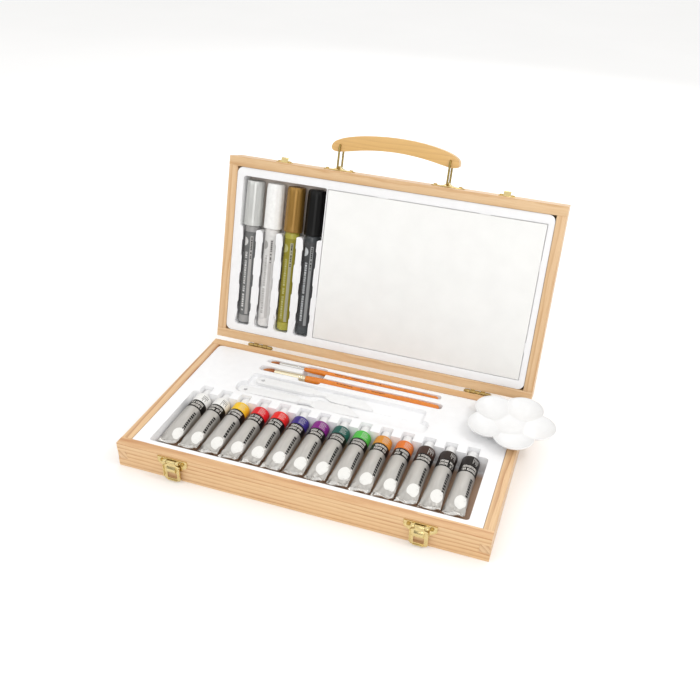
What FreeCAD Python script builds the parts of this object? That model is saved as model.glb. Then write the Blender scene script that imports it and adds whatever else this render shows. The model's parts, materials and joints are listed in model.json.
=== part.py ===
"""Wooden art supply box with its contents.

Millimetres, +Z up. Origin: centre of the base frame's underside.
+X runs along the long side, -Y is the latch side, +Y is the hinge side.
The lid stands open against the stops of its hinges; lid pieces are drawn in
closed position and then turned about the hinge pins.
"""
import FreeCAD, Part
import math
import os
from FreeCAD import Vector as V

os.makedirs("parts", exist_ok=True)

# ---------------------------------------------------------------- dimensions
BOX_W = 330.6            # outside length, X
BOX_D = 184.6            # outside width, Y
BASE_H = 24.7            # height of the base frame
LID_H = 26.1             # height of the lid frame
RAIL_T = 9.0             # thickness of every frame rail
PANEL_T = 3.0            # plywood bottom and top panels
REBATE = 4.5             # how far the panels reach into the rails
LID_GAP = 0.5            # between the two rims when closed
OPEN_DEG = 106.8         # lid opening angle at the hinge stops
PIN_Y = BOX_D / 2 + 2.4  # hinge pin axis
PIN_Z = BASE_H + LID_GAP / 2
SHEET = 0.9              # formed plastic sheet of the inserts
RECESS = 0.7             # insert face below the rim

HINGE_X = (-115.3, 114.0)
HINGE_W = 25.0
HINGE_KNUCKLE_R = 1.9
HINGE_PIN_R = 0.8
HINGE_LEAF_T = 0.8
HINGE_LEAF_REACH = 14.0      # leaf height on the rear face
HINGE_LEAF_GAP = 2.35        # leaf edge to the pin axis

LATCH_X = (-111.0, 108.5)
LATCH_PIN_Z = 20.6
LATCH_PIN_Y = -BOX_D / 2 - 2.7
CATCH_Z = 34.6           # catch hook centre, closed position

HANDLE_X = (-55.5, 52.3)     # bracket and bail centres
HANDLE_Y = -BOX_D / 2 - 2.2  # bail pivot axis, closed position
HANDLE_Z = 38.2              # middle of the lid rail, closed position
BAIL_RISE = 21.6             # bail pivot to grip hole
WIRE_R = 1.0
GRIP_T = 10.0

TUBE_N = 14
TUBE_X0 = -131.0
TUBE_PITCH = 20.0
TUBE_R = 8.25
TUBE_Z = 16.0
TUBE_SHOULDER_Y = 0.5
TUBE_END_Y = -69.5
TUBE_CAP_R = 5.4

MARKER_X = (-139.0, -117.2, -95.6, -74.0)
MARKER_R = 7.6
MARKER_CAP_R = 9.5
MARKER_Y = (-71.0, -27.0, 74.0)   # cap end, cap mouth, foot
MARKER_Z = 35.0

BOARD_X = (-60.2, 149.8)
BOARD_Y = (-74.0, 74.0)
BOARD_T = 2.6

PALETTE_C = (153.5, 50.0)
PALETTE_Z = 25.0
PALETTE_H = 9.8
PALETTE_LOBE_R = 18.6
PALETTE_LOBE_AT = 22.4
PALETTE_TURN = -75.0

HW, HD = BOX_W / 2, BOX_D / 2
LZ0 = BASE_H + LID_GAP        # lid rim plane, closed
LZ1 = LZ0 + LID_H             # lid outside top, closed


# ------------------------------------------------------------------- helpers
def box(x0, x1, y0, y1, z0, z1):
    return Part.makeBox(x1 - x0, y1 - y0, z1 - z0, V(x0, y0, z0))


def cyl(p, axis, r, length):
    return Part.makeCylinder(r, length, V(*p), V(*axis))


def cone(p, axis, r0, r1, length):
    return Part.makeCone(r0, r1, length, V(*p), V(*axis))


def fuse(items):
    out = items[0]
    if len(items) > 1:
        out = out.multiFuse(items[1:])
    return out.removeSplitter()


def cut(a, items):
    return a.cut(items).removeSplitter() if items else a


def rrect(x0, x1, y0, y1, r, z):
    """Closed wire: rectangle with round corners at height z."""
    r = min(r, (x1 - x0) / 2 - 0.01, (y1 - y0) / 2 - 0.01)
    q = r * math.sqrt(0.5)
    c = [(x1 - r, y1 - r, 1, 1), (x0 + r, y1 - r, -1, 1),
         (x0 + r, y0 + r, -1, -1), (x1 - r, y0 + r, 1, -1)]
    edges, pts = [], []
    for cx, cy, sx, sy in c:
        a = V(cx + sx * r, cy, z) if sx * sy > 0 else V(cx, cy + sy * r, z)
        b = V(cx, cy + sy * r, z) if sx * sy > 0 else V(cx + sx * r, cy, z)
        m = V(cx + sx * q, cy + sy * q, z)
        pts.append((a, m, b))
    for i, (a, m, b) in enumerate(pts):
        edges.append(Part.Arc(a, m, b).toShape())
        edges.append(Part.LineSegment(b, pts[(i + 1) % 4][0]).toShape())
    return Part.Wire(edges)


def rbox(x0, x1, y0, y1, z0, z1, r):
    return Part.Face(rrect(x0, x1, y0, y1, r, z0)).extrude(V(0, 0, z1 - z0))


def prism(points, z0, z1):
    w = Part.makePolygon([V(x, y, z0) for x, y in points + points[:1]])
    return Part.Face(w).extrude(V(0, 0, z1 - z0))


def turned(profile, origin, axis):
    """Solid of revolution. profile: (distance along axis, radius) pairs."""
    pts = [V(a, r, 0) for a, r in profile]
    pts = [V(profile[0][0], 0, 0)] + pts + [V(profile[-1][0], 0, 0)]
    clean = [pts[0]]
    for p in pts[1:]:
        if p.distanceToPoint(clean[-1]) > 1e-6:
            clean.append(p)
    if clean[-1].distanceToPoint(clean[0]) > 1e-6:
        clean.append(clean[0])
    s = Part.Face(Part.makePolygon(clean)).revolve(V(0, 0, 0), V(1, 0, 0), 360)
    s = Part.Solid(s.Shells[0]) if s.ShapeType != "Solid" else s
    s.Placement = FreeCAD.Placement(
        V(*origin), FreeCAD.Rotation(V(1, 0, 0), V(*axis)))
    return s


def lid_turn(shape):
    s = shape.copy()
    s.rotate(V(0, PIN_Y, PIN_Z), V(1, 0, 0), -OPEN_DEG)
    return s


WRITTEN = []


def emit(name, *solids, lid=False):
    out = []
    for s in solids:
        s = lid_turn(s) if lid else s
        for one in s.Solids:
            if one.Volume < 0:
                one.reverse()
            if not one.isValid():
                print("INVALID", name)
            out.append(one)
    shape = out[0] if len(out) == 1 else Part.makeCompound(out)
    shape.exportStep("parts/%s.step" % name)
    WRITTEN.append(name)
    b = shape.BoundBox
    print("%-22s %2d solid  vol %9.1f  x %.1f..%.1f y %.1f..%.1f z %.1f..%.1f"
          % (name, len(out), shape.Volume, b.XMin, b.XMax, b.YMin, b.YMax,
             b.ZMin, b.ZMax))


# ------------------------------------------------------------ wooden frames
def frame_rails(z0, z1, panel_low):
    """Front, rear, left, right rails: box joints in thirds, panel rebate."""
    h = z1 - z0
    a, b = z0 + h / 3, z0 + 2 * h / 3
    pz = (z0, z0 + PANEL_T) if panel_low else (z1 - PANEL_T, z1)
    rebate = box(-HW + REBATE, HW - REBATE, -HD + REBATE, HD - REBATE, *pz)
    rails = []
    for y0 in (-HD, HD - RAIL_T):
        r = box(-HW, HW, y0, y0 + RAIL_T, z0, z1)
        notches = [box(-HW - 1, -HW + RAIL_T, y0 - 1, y0 + RAIL_T + 1, a, b),
                   box(HW - RAIL_T, HW + 1, y0 - 1, y0 + RAIL_T + 1, a, b)]
        rails.append(cut(r, notches + [rebate]))
    for x0 in (-HW, HW - RAIL_T):
        body = box(x0, x0 + RAIL_T, -HD + RAIL_T, HD - RAIL_T, z0, z1)
        tongue = box(x0, x0 + RAIL_T, -HD, HD, a, b)
        rails.append(cut(fuse([body, tongue]), [rebate]))
    return rails, rebate


base_rails, base_panel = frame_rails(0.0, BASE_H, True)
lid_rails, lid_panel = frame_rails(LZ0, LZ1, False)

# screw holes: (x, y) of the hinge screws, and the latch and bracket screws
HINGE_SCREW_DX = 7.2
HINGE_SCREW_DZ = 9.4          # above and below the pin axis
SCREW_R = 0.9
LATCH_SCREW_DX = 9.6
LATCH_SCREW_Z = 19.6
CATCH_SCREW_DX = 5.2
BRACKET_SCREW_DX = 12.2

hinge_x = [cx + s * HINGE_SCREW_DX for cx in HINGE_X for s in (-1, 1)]


def screw(p, axis, head_r=1.7, head_h=0.7, shank=6.0):
    """Small domed wood screw; p is under the head, axis points into the wood."""
    a = V(*axis)
    shaft = cyl(p, axis, SCREW_R, shank)
    tip = cone(tuple(V(*p) + a * shank), axis, SCREW_R, 0.15, 1.6)
    head = cyl(tuple(V(*p) - a * head_h), axis, head_r, head_h)
    top = cone(tuple(V(*p) - a * head_h), tuple(a * -1), head_r, head_r * 0.6, 0.35)
    s = fuse([shaft, tip, head, top])
    n = V(*p) - a * (head_h + 0.45)
    slot = []
    for deg in (0, 90):
        b = Part.makeBox(head_r * 1.5, 0.45, 0.5,
                         V(-head_r * 0.75, -0.225, -0.25))
        b.rotate(V(0, 0, 0), V(0, 0, 1), deg)
        b.Placement = FreeCAD.Placement(
            n, FreeCAD.Rotation(V(0, 0, 1), a)).multiply(b.Placement)
        slot.append(b)
    return cut(s, slot)


def pilot(p, axis, length=8.0):
    return cyl(p, axis, SCREW_R + 0.02, length)


# --------------------------------------------------------------- hinge leaves
def knuckle_spans(cx, own):
    """Five knuckles: three on the base leaf, two on the lid leaf."""
    w = HINGE_W / 5
    gap = 0.15
    for i in range(5):
        if (i % 2 == 0) == own:
            yield cx - HINGE_W / 2 + i * w + gap, cx - HINGE_W / 2 + (i + 1) * w - gap


def hinge_leaf(cx, base):
    """Leaf screwed flat on the rear face, with its share of the knuckles."""
    d = -1 if base else 1
    edge, far = PIN_Z + d * HINGE_LEAF_GAP, PIN_Z + d * (HINGE_LEAF_GAP + HINGE_LEAF_REACH)
    y0, y1 = HD + 0.02, HD + HINGE_LEAF_T
    parts = [box(cx - HINGE_W / 2, cx + HINGE_W / 2, y0, y1, min(edge, far), max(edge, far))]
    for x0, x1 in knuckle_spans(cx, base):
        parts.append(box(x0, x1, y0, y1, min(PIN_Z, edge), max(PIN_Z, edge)))
        parts.append(cyl((x0, PIN_Y, PIN_Z), (1, 0, 0), HINGE_KNUCKLE_R, x1 - x0))
    leaf = fuse(parts)
    holes = [cyl((cx - HINGE_W, PIN_Y, PIN_Z), (1, 0, 0),
                 HINGE_PIN_R + 0.05, 2 * HINGE_W)]
    for s in (-1, 1):
        holes.append(cyl((cx + s * HINGE_SCREW_DX, HD - 2, PIN_Z + d * HINGE_SCREW_DZ),
                         (0, 1, 0), SCREW_R + 0.15, 6))
    return cut(leaf, holes)


base_leaves = [hinge_leaf(x, True) for x in HINGE_X]
lid_leaves = [hinge_leaf(x, False) for x in HINGE_X]
hinge_pins = []
for x in HINGE_X:
    shaft = cyl((x - HINGE_W / 2 - 0.4, PIN_Y, PIN_Z), (1, 0, 0),
                HINGE_PIN_R, HINGE_W + 0.8)
    heads = [cyl((x - HINGE_W / 2 - 0.9, PIN_Y, PIN_Z), (1, 0, 0), 1.3, 0.8),
             cyl((x + HINGE_W / 2 + 0.1, PIN_Y, PIN_Z), (1, 0, 0), 1.3, 0.8)]
    hinge_pins.append(fuse([shaft] + heads))


head_y = HD + HINGE_LEAF_T
hinge_screws_base = [screw((x, head_y, PIN_Z - HINGE_SCREW_DZ), (0, -1, 0))
                     for x in hinge_x]
hinge_screws_lid = [screw((x, head_y, PIN_Z + HINGE_SCREW_DZ), (0, -1, 0))
                    for x in hinge_x]
base_rails[1] = cut(base_rails[1], [
    pilot((x, HD + 1, PIN_Z - HINGE_SCREW_DZ), (0, -1, 0), 9) for x in hinge_x])
lid_rails[1] = cut(lid_rails[1], [
    pilot((x, HD + 1, PIN_Z + HINGE_SCREW_DZ), (0, -1, 0), 9) for x in hinge_x])

# -------------------------------------------------------------------- latches
FY = -HD                      # front face
PLATE_T = 0.8


def xz_prism(points, y0, y1):
    w = Part.makePolygon([V(x, y0, z) for x, z in points + points[:1]])
    return Part.Face(w).extrude(V(0, y1 - y0, 0))


def latch_plate(cx):
    out = xz_prism([(cx - 14, 22.9), (cx - 14, 17.0), (cx - 12.4, 15.4),
                    (cx - 8.6, 13.0), (cx - 8.2, 11.2), (cx + 8.2, 11.2),
                    (cx + 8.6, 13.0), (cx + 12.4, 15.4), (cx + 14, 17.0),
                    (cx + 14, 22.9)], FY - PLATE_T, FY)
    lip = box(cx - 14, cx + 14, FY - PLATE_T - 0.5, FY, 22.4, 22.9)
    parts = [out, lip]
    for s in (-1, 1):
        x0 = cx + s * 5.9 - 1.5
        parts.append(cyl((x0, LATCH_PIN_Y, LATCH_PIN_Z), (1, 0, 0), 1.5, 3.0))
        parts.append(box(x0, x0 + 3.0, LATCH_PIN_Y, FY - PLATE_T / 2,
                         LATCH_PIN_Z + 0.7, LATCH_PIN_Z + 1.5))
    plate = fuse(parts)
    holes = [cyl((cx - 20, LATCH_PIN_Y, LATCH_PIN_Z), (1, 0, 0), 0.75, 40)]
    for s in (-1, 1):
        holes.append(cyl((cx + s * LATCH_SCREW_DX, FY - 3, LATCH_SCREW_Z),
                         (0, 1, 0), SCREW_R + 0.15, 6))
    return cut(plate, holes)


def latch_hasp(cx):
    """Hanging hasp: barrel, two cheeks, window near its free end."""
    t = 0.8
    y = LATCH_PIN_Y
    zt = LATCH_PIN_Z
    plate = xz_prism([(cx - 4.0, zt - 0.6), (cx - 4.0, zt - 2.4),
                      (cx - 7.9, zt - 4.0), (cx - 7.9, 3.4), (cx - 6.6, 1.2),
                      (cx + 6.6, 1.2), (cx + 7.9, 3.4), (cx + 7.9, zt - 4.0),
                      (cx + 4.0, zt - 2.4), (cx + 4.0, zt - 0.6)],
                     y - t / 2, y + t / 2)
    barrel = cyl((cx - 4.0, y, zt), (1, 0, 0), 1.5, 8.0)
    cheeks = [box(cx + s * 7.5 - 0.4, cx + s * 7.5 + 0.4,
                  y - 1.6, y + t / 2, 4.6, zt - 4.6) for s in (-1, 1)]
    foot = box(cx - 4.6, cx + 4.6, y - 1.3, y + t / 2, 1.2, 2.0)
    body = fuse([plate, barrel, foot] + cheeks)
    window = box(cx - 4.5, cx + 4.5, y - 3, y + 3, 3.2, 9.6)
    bore = cyl((cx - 10, y, zt), (1, 0, 0), 0.75, 20)
    tongue_pts = [(y - t / 2, 10.0), (y - 1.7, 10.8), (y - 2.2, 12.6),
                  (y - 1.9, 14.6), (y - t / 2, 16.4)]
    w = Part.makePolygon([V(cx - 4.2, a, b) for a, b in tongue_pts + tongue_pts[:1]])
    tongue = Part.Face(w).extrude(V(8.4, 0, 0))
    return cut(fuse([body, tongue]), [window, bore])


def latch_pin(cx):
    return cyl((cx - 7.6, LATCH_PIN_Y, LATCH_PIN_Z), (1, 0, 0), 0.7, 15.2)


def catch(cx):
    """Small plate with a hook that the hasp's window drops over."""
    plate = box(cx - 7.6, cx + 7.6, FY - PLATE_T, FY, CATCH_Z - 3.2, CATCH_Z + 3.2)
    pts = [(FY - 0.4, CATCH_Z - 2.0), (FY - 4.4, CATCH_Z - 0.4),
           (FY - 5.0, CATCH_Z + 0.9), (FY - 4.3, CATCH_Z + 1.9),
           (FY - 3.3, CATCH_Z + 1.0), (FY - 0.4, CATCH_Z + 1.0)]
    w = Part.makePolygon([V(cx - 3.4, a, b) for a, b in pts + pts[:1]])
    hook = Part.Face(w).extrude(V(6.8, 0, 0))
    c = fuse([plate, hook])
    return cut(c, [cyl((cx + s * CATCH_SCREW_DX, FY - 3, CATCH_Z), (0, 1, 0),
                       SCREW_R + 0.15, 6) for s in (-1, 1)])


latch_screw_p = [(cx + s * LATCH_SCREW_DX, FY - PLATE_T, LATCH_SCREW_Z)
                 for cx in LATCH_X for s in (-1, 1)]
catch_screw_p = [(cx + s * CATCH_SCREW_DX, FY - PLATE_T, CATCH_Z)
                 for cx in LATCH_X for s in (-1, 1)]
base_rails[0] = cut(base_rails[0], [pilot((x, FY - 1, z), (0, 1, 0), 9)
                                    for x, _, z in latch_screw_p])

# --------------------------------------------------------------------- handle
BRACKET_L = 32.0
BRACKET_D = 7.0


def bracket(cx):
    """Strip on the lid's front rail with a raised tunnel for the bail."""
    z = HANDLE_Z
    strip = box(cx - BRACKET_L / 2 + 3, cx + BRACKET_L / 2 - 3, FY - 1.0, FY,
                z - BRACKET_D / 2, z + BRACKET_D / 2)
    ends = [cyl((cx + s * (BRACKET_L / 2 - 3.5), FY - 1.0, z), (0, 1, 0),
                BRACKET_D / 2, 1.0) for s in (-1, 1)]
    ring = cyl((cx, HANDLE_Y, z - BRACKET_D / 2), (0, 0, 1), 2.2, BRACKET_D)
    ramps = []
    for s in (-1, 1):
        pts = [(cx + s * 1.0, FY - 1.0), (cx + s * 6.0, FY - 1.0),
               (cx + s * 3.6, FY - 1.9), (cx + s * 1.9, HANDLE_Y - 0.6),
               (cx + s * 1.0, HANDLE_Y - 0.6)]
        ramps.append(prism(pts, z - BRACKET_D / 2, z + BRACKET_D / 2))
    b = fuse([strip, ring] + ends + ramps)
    holes = [cyl((cx, HANDLE_Y, z - 10), (0, 0, 1), WIRE_R + 0.08, 20)]
    for s in (-1, 1):
        holes.append(cyl((cx + s * BRACKET_SCREW_DX, FY - 3, z), (0, 1, 0),
                         SCREW_R + 0.15, 6))
    return cut(b, holes)


bracket_screw_p = [(cx + s * BRACKET_SCREW_DX, FY - 1.0, HANDLE_Z)
                   for cx in HANDLE_X for s in (-1, 1)]
lid_rails[0] = cut(lid_rails[0], [
    pilot((x, FY - 1, z), (0, 1, 0), 9)
    for x, _, z in catch_screw_p + bracket_screw_p])

GRIP_HOLE_Y = HANDLE_Y - BAIL_RISE
LEG_DZ = GRIP_T / 2 + 0.35 + WIRE_R


def bail(cx):
    """Bent wire: bar through the bracket, two legs, ends in the grip hole."""
    y0, y1 = HANDLE_Y, GRIP_HOLE_Y
    z = HANDLE_Z
    r = 1.6
    parts = [cyl((cx, y0, z - LEG_DZ + r), (0, 0, 1), WIRE_R, 2 * (LEG_DZ - r))]
    for s in (-1, 1):
        zl = z + s * LEG_DZ
        parts.append(cyl((cx, y0 - r, zl), (0, -1, 0), WIRE_R, (y0 - y1) - 2 * r))
        inner = zl - s * (r)
        parts.append(cyl((cx, y1, inner), (0, 0, -s), WIRE_R, 3.2))
        for cy, sy in ((y0 - r, 1), (y1 + r, -1)):
            # quarter bend from the leg into the bar or into the hole
            circle = Part.Wire(Part.makeCircle(WIRE_R, V(cx, cy, zl), V(0, 1, 0)))
            q = Part.Face(circle).revolve(
                V(cx, cy, zl - s * r), V(1, 0, 0), -90 * s * sy)
            parts.append(Part.Solid(q.Shells[0]) if q.ShapeType != "Solid" else q)
    return fuse(parts)


def grip():
    """Arched wooden grip, constant thickness, two wire holes."""
    z0, z1 = HANDLE_Z - GRIP_T / 2, HANDLE_Z + GRIP_T / 2
    mx = sum(HANDLE_X) / 2
    top = [(-62.5, -114.4), (-60.6, -118.4), (-56.0, -121.4), (-45.0, -125.0),
           (-28.0, -128.0), (0.0, -129.6), (28.0, -128.0), (45.0, -125.0),
           (56.0, -121.4), (60.6, -118.4), (62.5, -114.4)]
    low = [(62.5, -114.4), (61.4, -111.4), (57.5, -110.2), (50.0, -110.8),
           (36.0, -113.4), (18.0, -115.7), (0.0, -116.5), (-18.0, -115.7),
           (-36.0, -113.4), (-50.0, -110.8), (-57.5, -110.2),
           (-61.4, -111.4), (-62.5, -114.4)]
    edges = []
    for pts in (top, low):
        c = Part.BSplineCurve()
        c.interpolate([V(mx + x, y, z0) for x, y in pts])
        edges.append(c.toShape())
    body = Part.Face(Part.Wire(edges)).extrude(V(0, 0, z1 - z0))
    body = cut(body, [cyl((cx, GRIP_HOLE_Y, z0 - 1), (0, 0, 1),
                          WIRE_R + 0.08, GRIP_T + 2) for cx in HANDLE_X])
    return body


# -------------------------------------------------------------- base insert
IX, IY = HW - RAIL_T - 0.35, HD - RAIL_T - 0.35
BZ = BASE_H - RECESS          # face of the base insert
TUBE_X = [TUBE_X0 + i * TUBE_PITCH for i in range(TUBE_N)]

# pockets: x0, x1, y0, y1, floor z, corner radius
POCKETS_BASE = [(-142.0, 143.8, -78.0, 2.3, 7.2, 3.0)]
for x in TUBE_X:
    POCKETS_BASE.append((x - 5.6, x + 5.6, -4.0, 12.5, 10.2, 1.0))
POCKETS_BASE += [
    (-108.0, 83.0, 16.0, 35.0, 19.2, 7.5),     # knives, front half
    (-101.0, 76.0, 30.0, 50.0, 19.8, 4.0),     # knives, rear half
    (-100.0, 87.5, 56.7, 65.3, 17.2, 3.6),     # large brush
    (-98.0, 83.0, 71.8, 78.2, 18.9, 2.8),      # small brush
    (-57.0, -34.0, 52.5, 80.5, 14.0, 3.5),     # finger relief
]


def formed_tray(pockets, x, y, face_z, up, r_front=6.0, r_rear=6.0):
    """Thin formed sheet: flat flange with pockets, walls SHEET thick.

    up is +1 when the pockets go down from face_z, -1 when they go up."""
    outer, inner = [], []
    z_low, z_high = (face_z - SHEET, face_z) if up > 0 else (face_z, face_z + SHEET)
    flange = rbox(-x, x, -y, y + 20, z_low, z_high, r_front)
    outer.append(flange.common(rbox(-x, x, -y - 20, y, z_low, z_high, r_rear)))
    for x0, x1, y0, y1, floor, r in pockets:
        if up > 0:
            outer.append(rbox(x0 - SHEET, x1 + SHEET, y0 - SHEET, y1 + SHEET,
                              floor - SHEET, face_z - 0.1, r + SHEET))
            inner.append(rbox(x0, x1, y0, y1, floor, face_z + 1, r))
        else:
            outer.append(rbox(x0 - SHEET, x1 + SHEET, y0 - SHEET, y1 + SHEET,
                              face_z + 0.1, floor + SHEET, r + SHEET))
            inner.append(rbox(x0, x1, y0, y1, face_z - 1, floor, r))
    return fuse(outer).cut(inner).removeSplitter()


base_insert = formed_tray(POCKETS_BASE, IX, IY, BZ, 1, 1.5, 5.0)

# --------------------------------------------------------------- lid insert
LZF = LZ0 + RECESS            # face of the lid insert, closed
CHAN = MARKER_R + 0.25
POCKETS_LID = [(MARKER_X[0] - 10.2, BOARD_X[0] - 0.6, -75.0, -25.0, 44.9, 3.0)]
for x in MARKER_X:
    POCKETS_LID.append((x - CHAN, x + CHAN, -28.0, 75.6, 42.9, 3.0))
    for y0, y1 in ((-14.0, 6.0), (20.0, 36.0), (50.0, 62.0)):   # finger waves
        POCKETS_LID.append((x - CHAN - 0.8, x + CHAN + 0.8, y0, y1, 42.9, 3.4))
lid_insert = formed_tray(POCKETS_LID, IX, IY, LZF, -1)
seat_z = LZF + 0.3 + BOARD_T + 0.2
board_seat_out = rbox(BOARD_X[0] - 0.6 - SHEET, BOARD_X[1] + 0.6 + SHEET,
                      BOARD_Y[0] - 0.6 - SHEET, BOARD_Y[1] + 0.6 + SHEET,
                      LZF + 0.1, seat_z + SHEET, 1.6)
board_seat_in = rbox(BOARD_X[0] - 0.6, BOARD_X[1] + 0.6, BOARD_Y[0] - 0.6,
                     BOARD_Y[1] + 0.6, LZF - 1, seat_z, 0.8)
# small tabs in the seat edge that centre the board
for x in (-5.2, 92.9):
    board_seat_in = board_seat_in.cut(box(x - 5, x + 5, BOARD_Y[0] - 2, BOARD_Y[0] - 0.12,
                                          LZF - 2, seat_z + 1))
for x0, x1, y in ((BOARD_X[1] + 0.12, BOARD_X[1] + 2, -36.0),
                  (BOARD_X[1] + 0.12, BOARD_X[1] + 2, 42.0),
                  (BOARD_X[0] - 2, BOARD_X[0] - 0.12, 37.7)):
    board_seat_in = board_seat_in.cut(box(x0, x1, y - 5, y + 5, LZF - 2, seat_z + 1))
lid_insert = lid_insert.fuse(board_seat_out).cut(board_seat_in).removeSplitter()

# --------------------------------------------------------------- art supplies
def board():
    return rbox(BOARD_X[0], BOARD_X[1], BOARD_Y[0], BOARD_Y[1],
                LZF + 0.3, LZF + 0.3 + BOARD_T, 0.6)


def marker(cx):
    a, m, b = MARKER_Y
    body = turned([(a + 14, 0.8), (a + 16, 1.8), (a + 22, 1.8), (a + 22, 3.6),
                   (m - 11, 4.2), (m - 11, 5.9), (m + 0.1, 5.9), (m + 0.1, 6.5),
                   (m + 1.4, MARKER_R), (b - 7, MARKER_R), (b - 6.6, MARKER_R - 0.4),
                   (b - 6.0, MARKER_R - 0.4), (b - 5.6, MARKER_R), (b - 1.0, MARKER_R),
                   (b, MARKER_R - 1.0)], (cx, 0, MARKER_Z), (0, 1, 0))
    rc = MARKER_CAP_R
    cap = turned([(a, rc - 1.6), (a + 1.4, rc - 0.5), (a + 5, rc - 0.3), (m - 3, rc),
                  (m - 0.4, rc), (m, rc - 0.4)], (cx, 0, MARKER_Z), (0, 1, 0))
    hollow = turned([(a + 2.0, 5.4), (m - 11.4, 5.6), (m - 11.4, 6.1),
                     (m + 1, 6.1)], (cx, 0, MARKER_Z), (0, 1, 0))
    return body, cut(cap, [hollow])


def tube(cx):
    """Collapsible paint tube with a crimped foot, and its screw cap."""
    secs = [(TUBE_SHOULDER_Y, TUBE_R, TUBE_R, TUBE_Z), (-30.0, TUBE_R, TUBE_R, TUBE_Z),
            (-38.0, 8.37, 7.95, 16.0), (-46.0, 8.65, 6.9, 16.05),
            (-53.0, 8.98, 5.4, 16.2), (-59.0, 9.28, 3.7, 16.45),
            (-63.5, 9.48, 2.1, 16.75), (-66.2, 9.6, 0.9, 17.0)]
    n = 32
    wires = []
    for y, a, b, z in secs:
        pts = [V(cx + a * math.cos(2 * math.pi * i / n), y,
                 z + b * math.sin(2 * math.pi * i / n)) for i in range(n)]
        wires.append(Part.makePolygon(pts + pts[:1]))
    barrel = Part.makeLoft(wires, True, True)
    crimp = box(cx - 9.6, cx + 9.6, TUBE_END_Y, -65.6, 16.1, 17.9)
    shoulder = turned([(TUBE_SHOULDER_Y - 0.4, TUBE_R - 0.3),
                       (TUBE_SHOULDER_Y + 0.1, TUBE_R - 0.3),
                       (TUBE_SHOULDER_Y + 0.6, TUBE_R - 0.9),
                       (TUBE_SHOULDER_Y + 1.7, 3.9), (TUBE_SHOULDER_Y + 1.7, 3.1),
                       (TUBE_SHOULDER_Y + 9.0, 3.1)],
                      (cx, 0, TUBE_Z), (0, 1, 0))
    body = fuse([barrel, crimp, shoulder])
    y0 = TUBE_SHOULDER_Y + 1.9
    cap = turned([(y0, TUBE_CAP_R), (y0 + 8.8, TUBE_CAP_R - 0.3),
                  (y0 + 9.6, TUBE_CAP_R - 1.1)], (cx, 0, TUBE_Z), (0, 1, 0))
    bore = cyl((cx, y0 - 1, TUBE_Z), (0, 1, 0), 3.15, 8.4)
    return body, cut(cap, [bore])


def brush(y, z, tip, hair, joint, end, r_ferrule, r_hair, r_max, r_end):
    """Bristles, ferrule and handle along +X."""
    bristles = turned([(tip, 0.15), (tip + 2.2, r_hair * 0.62),
                       (tip + 5.5, r_hair), (hair - 1.0, r_hair * 0.98),
                       (hair, r_hair * 0.9)], (0, y, z), (1, 0, 0))
    rf = r_ferrule
    ferrule = turned([(hair, r_hair * 0.95), (joint - 9, rf), (joint - 6.6, rf),
                      (joint - 6.2, rf - 0.22), (joint - 5.6, rf - 0.22),
                      (joint - 5.2, rf), (joint - 4.0, rf), (joint - 3.6, rf - 0.22),
                      (joint - 3.0, rf - 0.22), (joint - 2.6, rf), (joint, rf + 0.1)],
                     (0, y, z), (1, 0, 0))
    handle = turned([(joint, rf - 0.1), (joint + 1.2, rf + 0.2),
                     (joint + 12, r_max), (joint + 24, r_max * 0.97),
                     (joint + 50, r_max * 0.78), (end - 24, r_end * 1.25),
                     (end - 3, r_end), (end - 0.8, r_end * 0.8),
                     (end, r_end * 0.3)], (0, y, z), (1, 0, 0))
    return bristles, ferrule, handle


def knife(x0, y, deg):
    """Moulded plastic palette knife: handle with a hole, neck, flat blade."""
    z0 = 20.2
    handle = rbox(0, 62, -5.2, 5.2, z0, z0 + 3.0, 5.1)
    neck = prism([(58, -3.4), (58, 3.4), (70, 1.9), (74, 2.4), (74, -2.4),
                  (70, -1.9)], z0, z0 + 2.2)
    blade = prism([(72, -2.2), (72, 2.2), (79, 6.2), (86, 7.3), (108, 6.4),
                   (122, -5.4), (120, -6.6), (86, -7.3), (79, -6.2)],
                  z0, z0 + 1.2)
    k = fuse([handle, neck, blade])
    k = cut(k, [cyl((7.0, 0, z0 - 1), (0, 0, 1), 2.0, 6)])
    k.rotate(V(0, 0, 0), V(0, 0, 1), deg)
    k.translate(V(x0, y, 0))
    return k


def palette():
    """Flower-shaped mixing palette: five clipped wells round a small one."""
    cx, cy = PALETTE_C
    z0, h = PALETTE_Z, PALETTE_H
    wall = 1.2
    outer, wells = [], []
    for i in range(5):
        a = math.radians(PALETTE_TURN + 72 * i)
        px = cx + PALETTE_LOBE_AT * math.cos(a)
        py = cy + PALETTE_LOBE_AT * math.sin(a)
        outer.append(cone((px, py, z0), (0, 0, 1), 12.5, PALETTE_LOBE_R, h))
        w = cone((px, py, z0 + wall), (0, 0, 1), 11.4, PALETTE_LOBE_R - wall, h)
        pts = [(0.9, 0), (50, 50 * math.tan(math.radians(36)) - 0.7),
               (50, -50 * math.tan(math.radians(36)) + 0.7)]
        wedge = prism(pts, z0 - 1, z0 + h + 5)
        wedge.rotate(V(0, 0, 0), V(0, 0, 1), math.degrees(a))
        wedge.translate(V(cx, cy, 0))
        core = cyl((cx, cy, z0 - 1), (0, 0, 1), 9.0, h + 6)
        wells.append(w.common(wedge).cut(core))
    outer.append(cyl((cx, cy, z0), (0, 0, 1), 11.0, h))
    wells.append(cone((cx, cy, z0 + wall), (0, 0, 1), 6.6, 8.0, h))
    return fuse(outer).cut(wells).removeSplitter()


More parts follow.
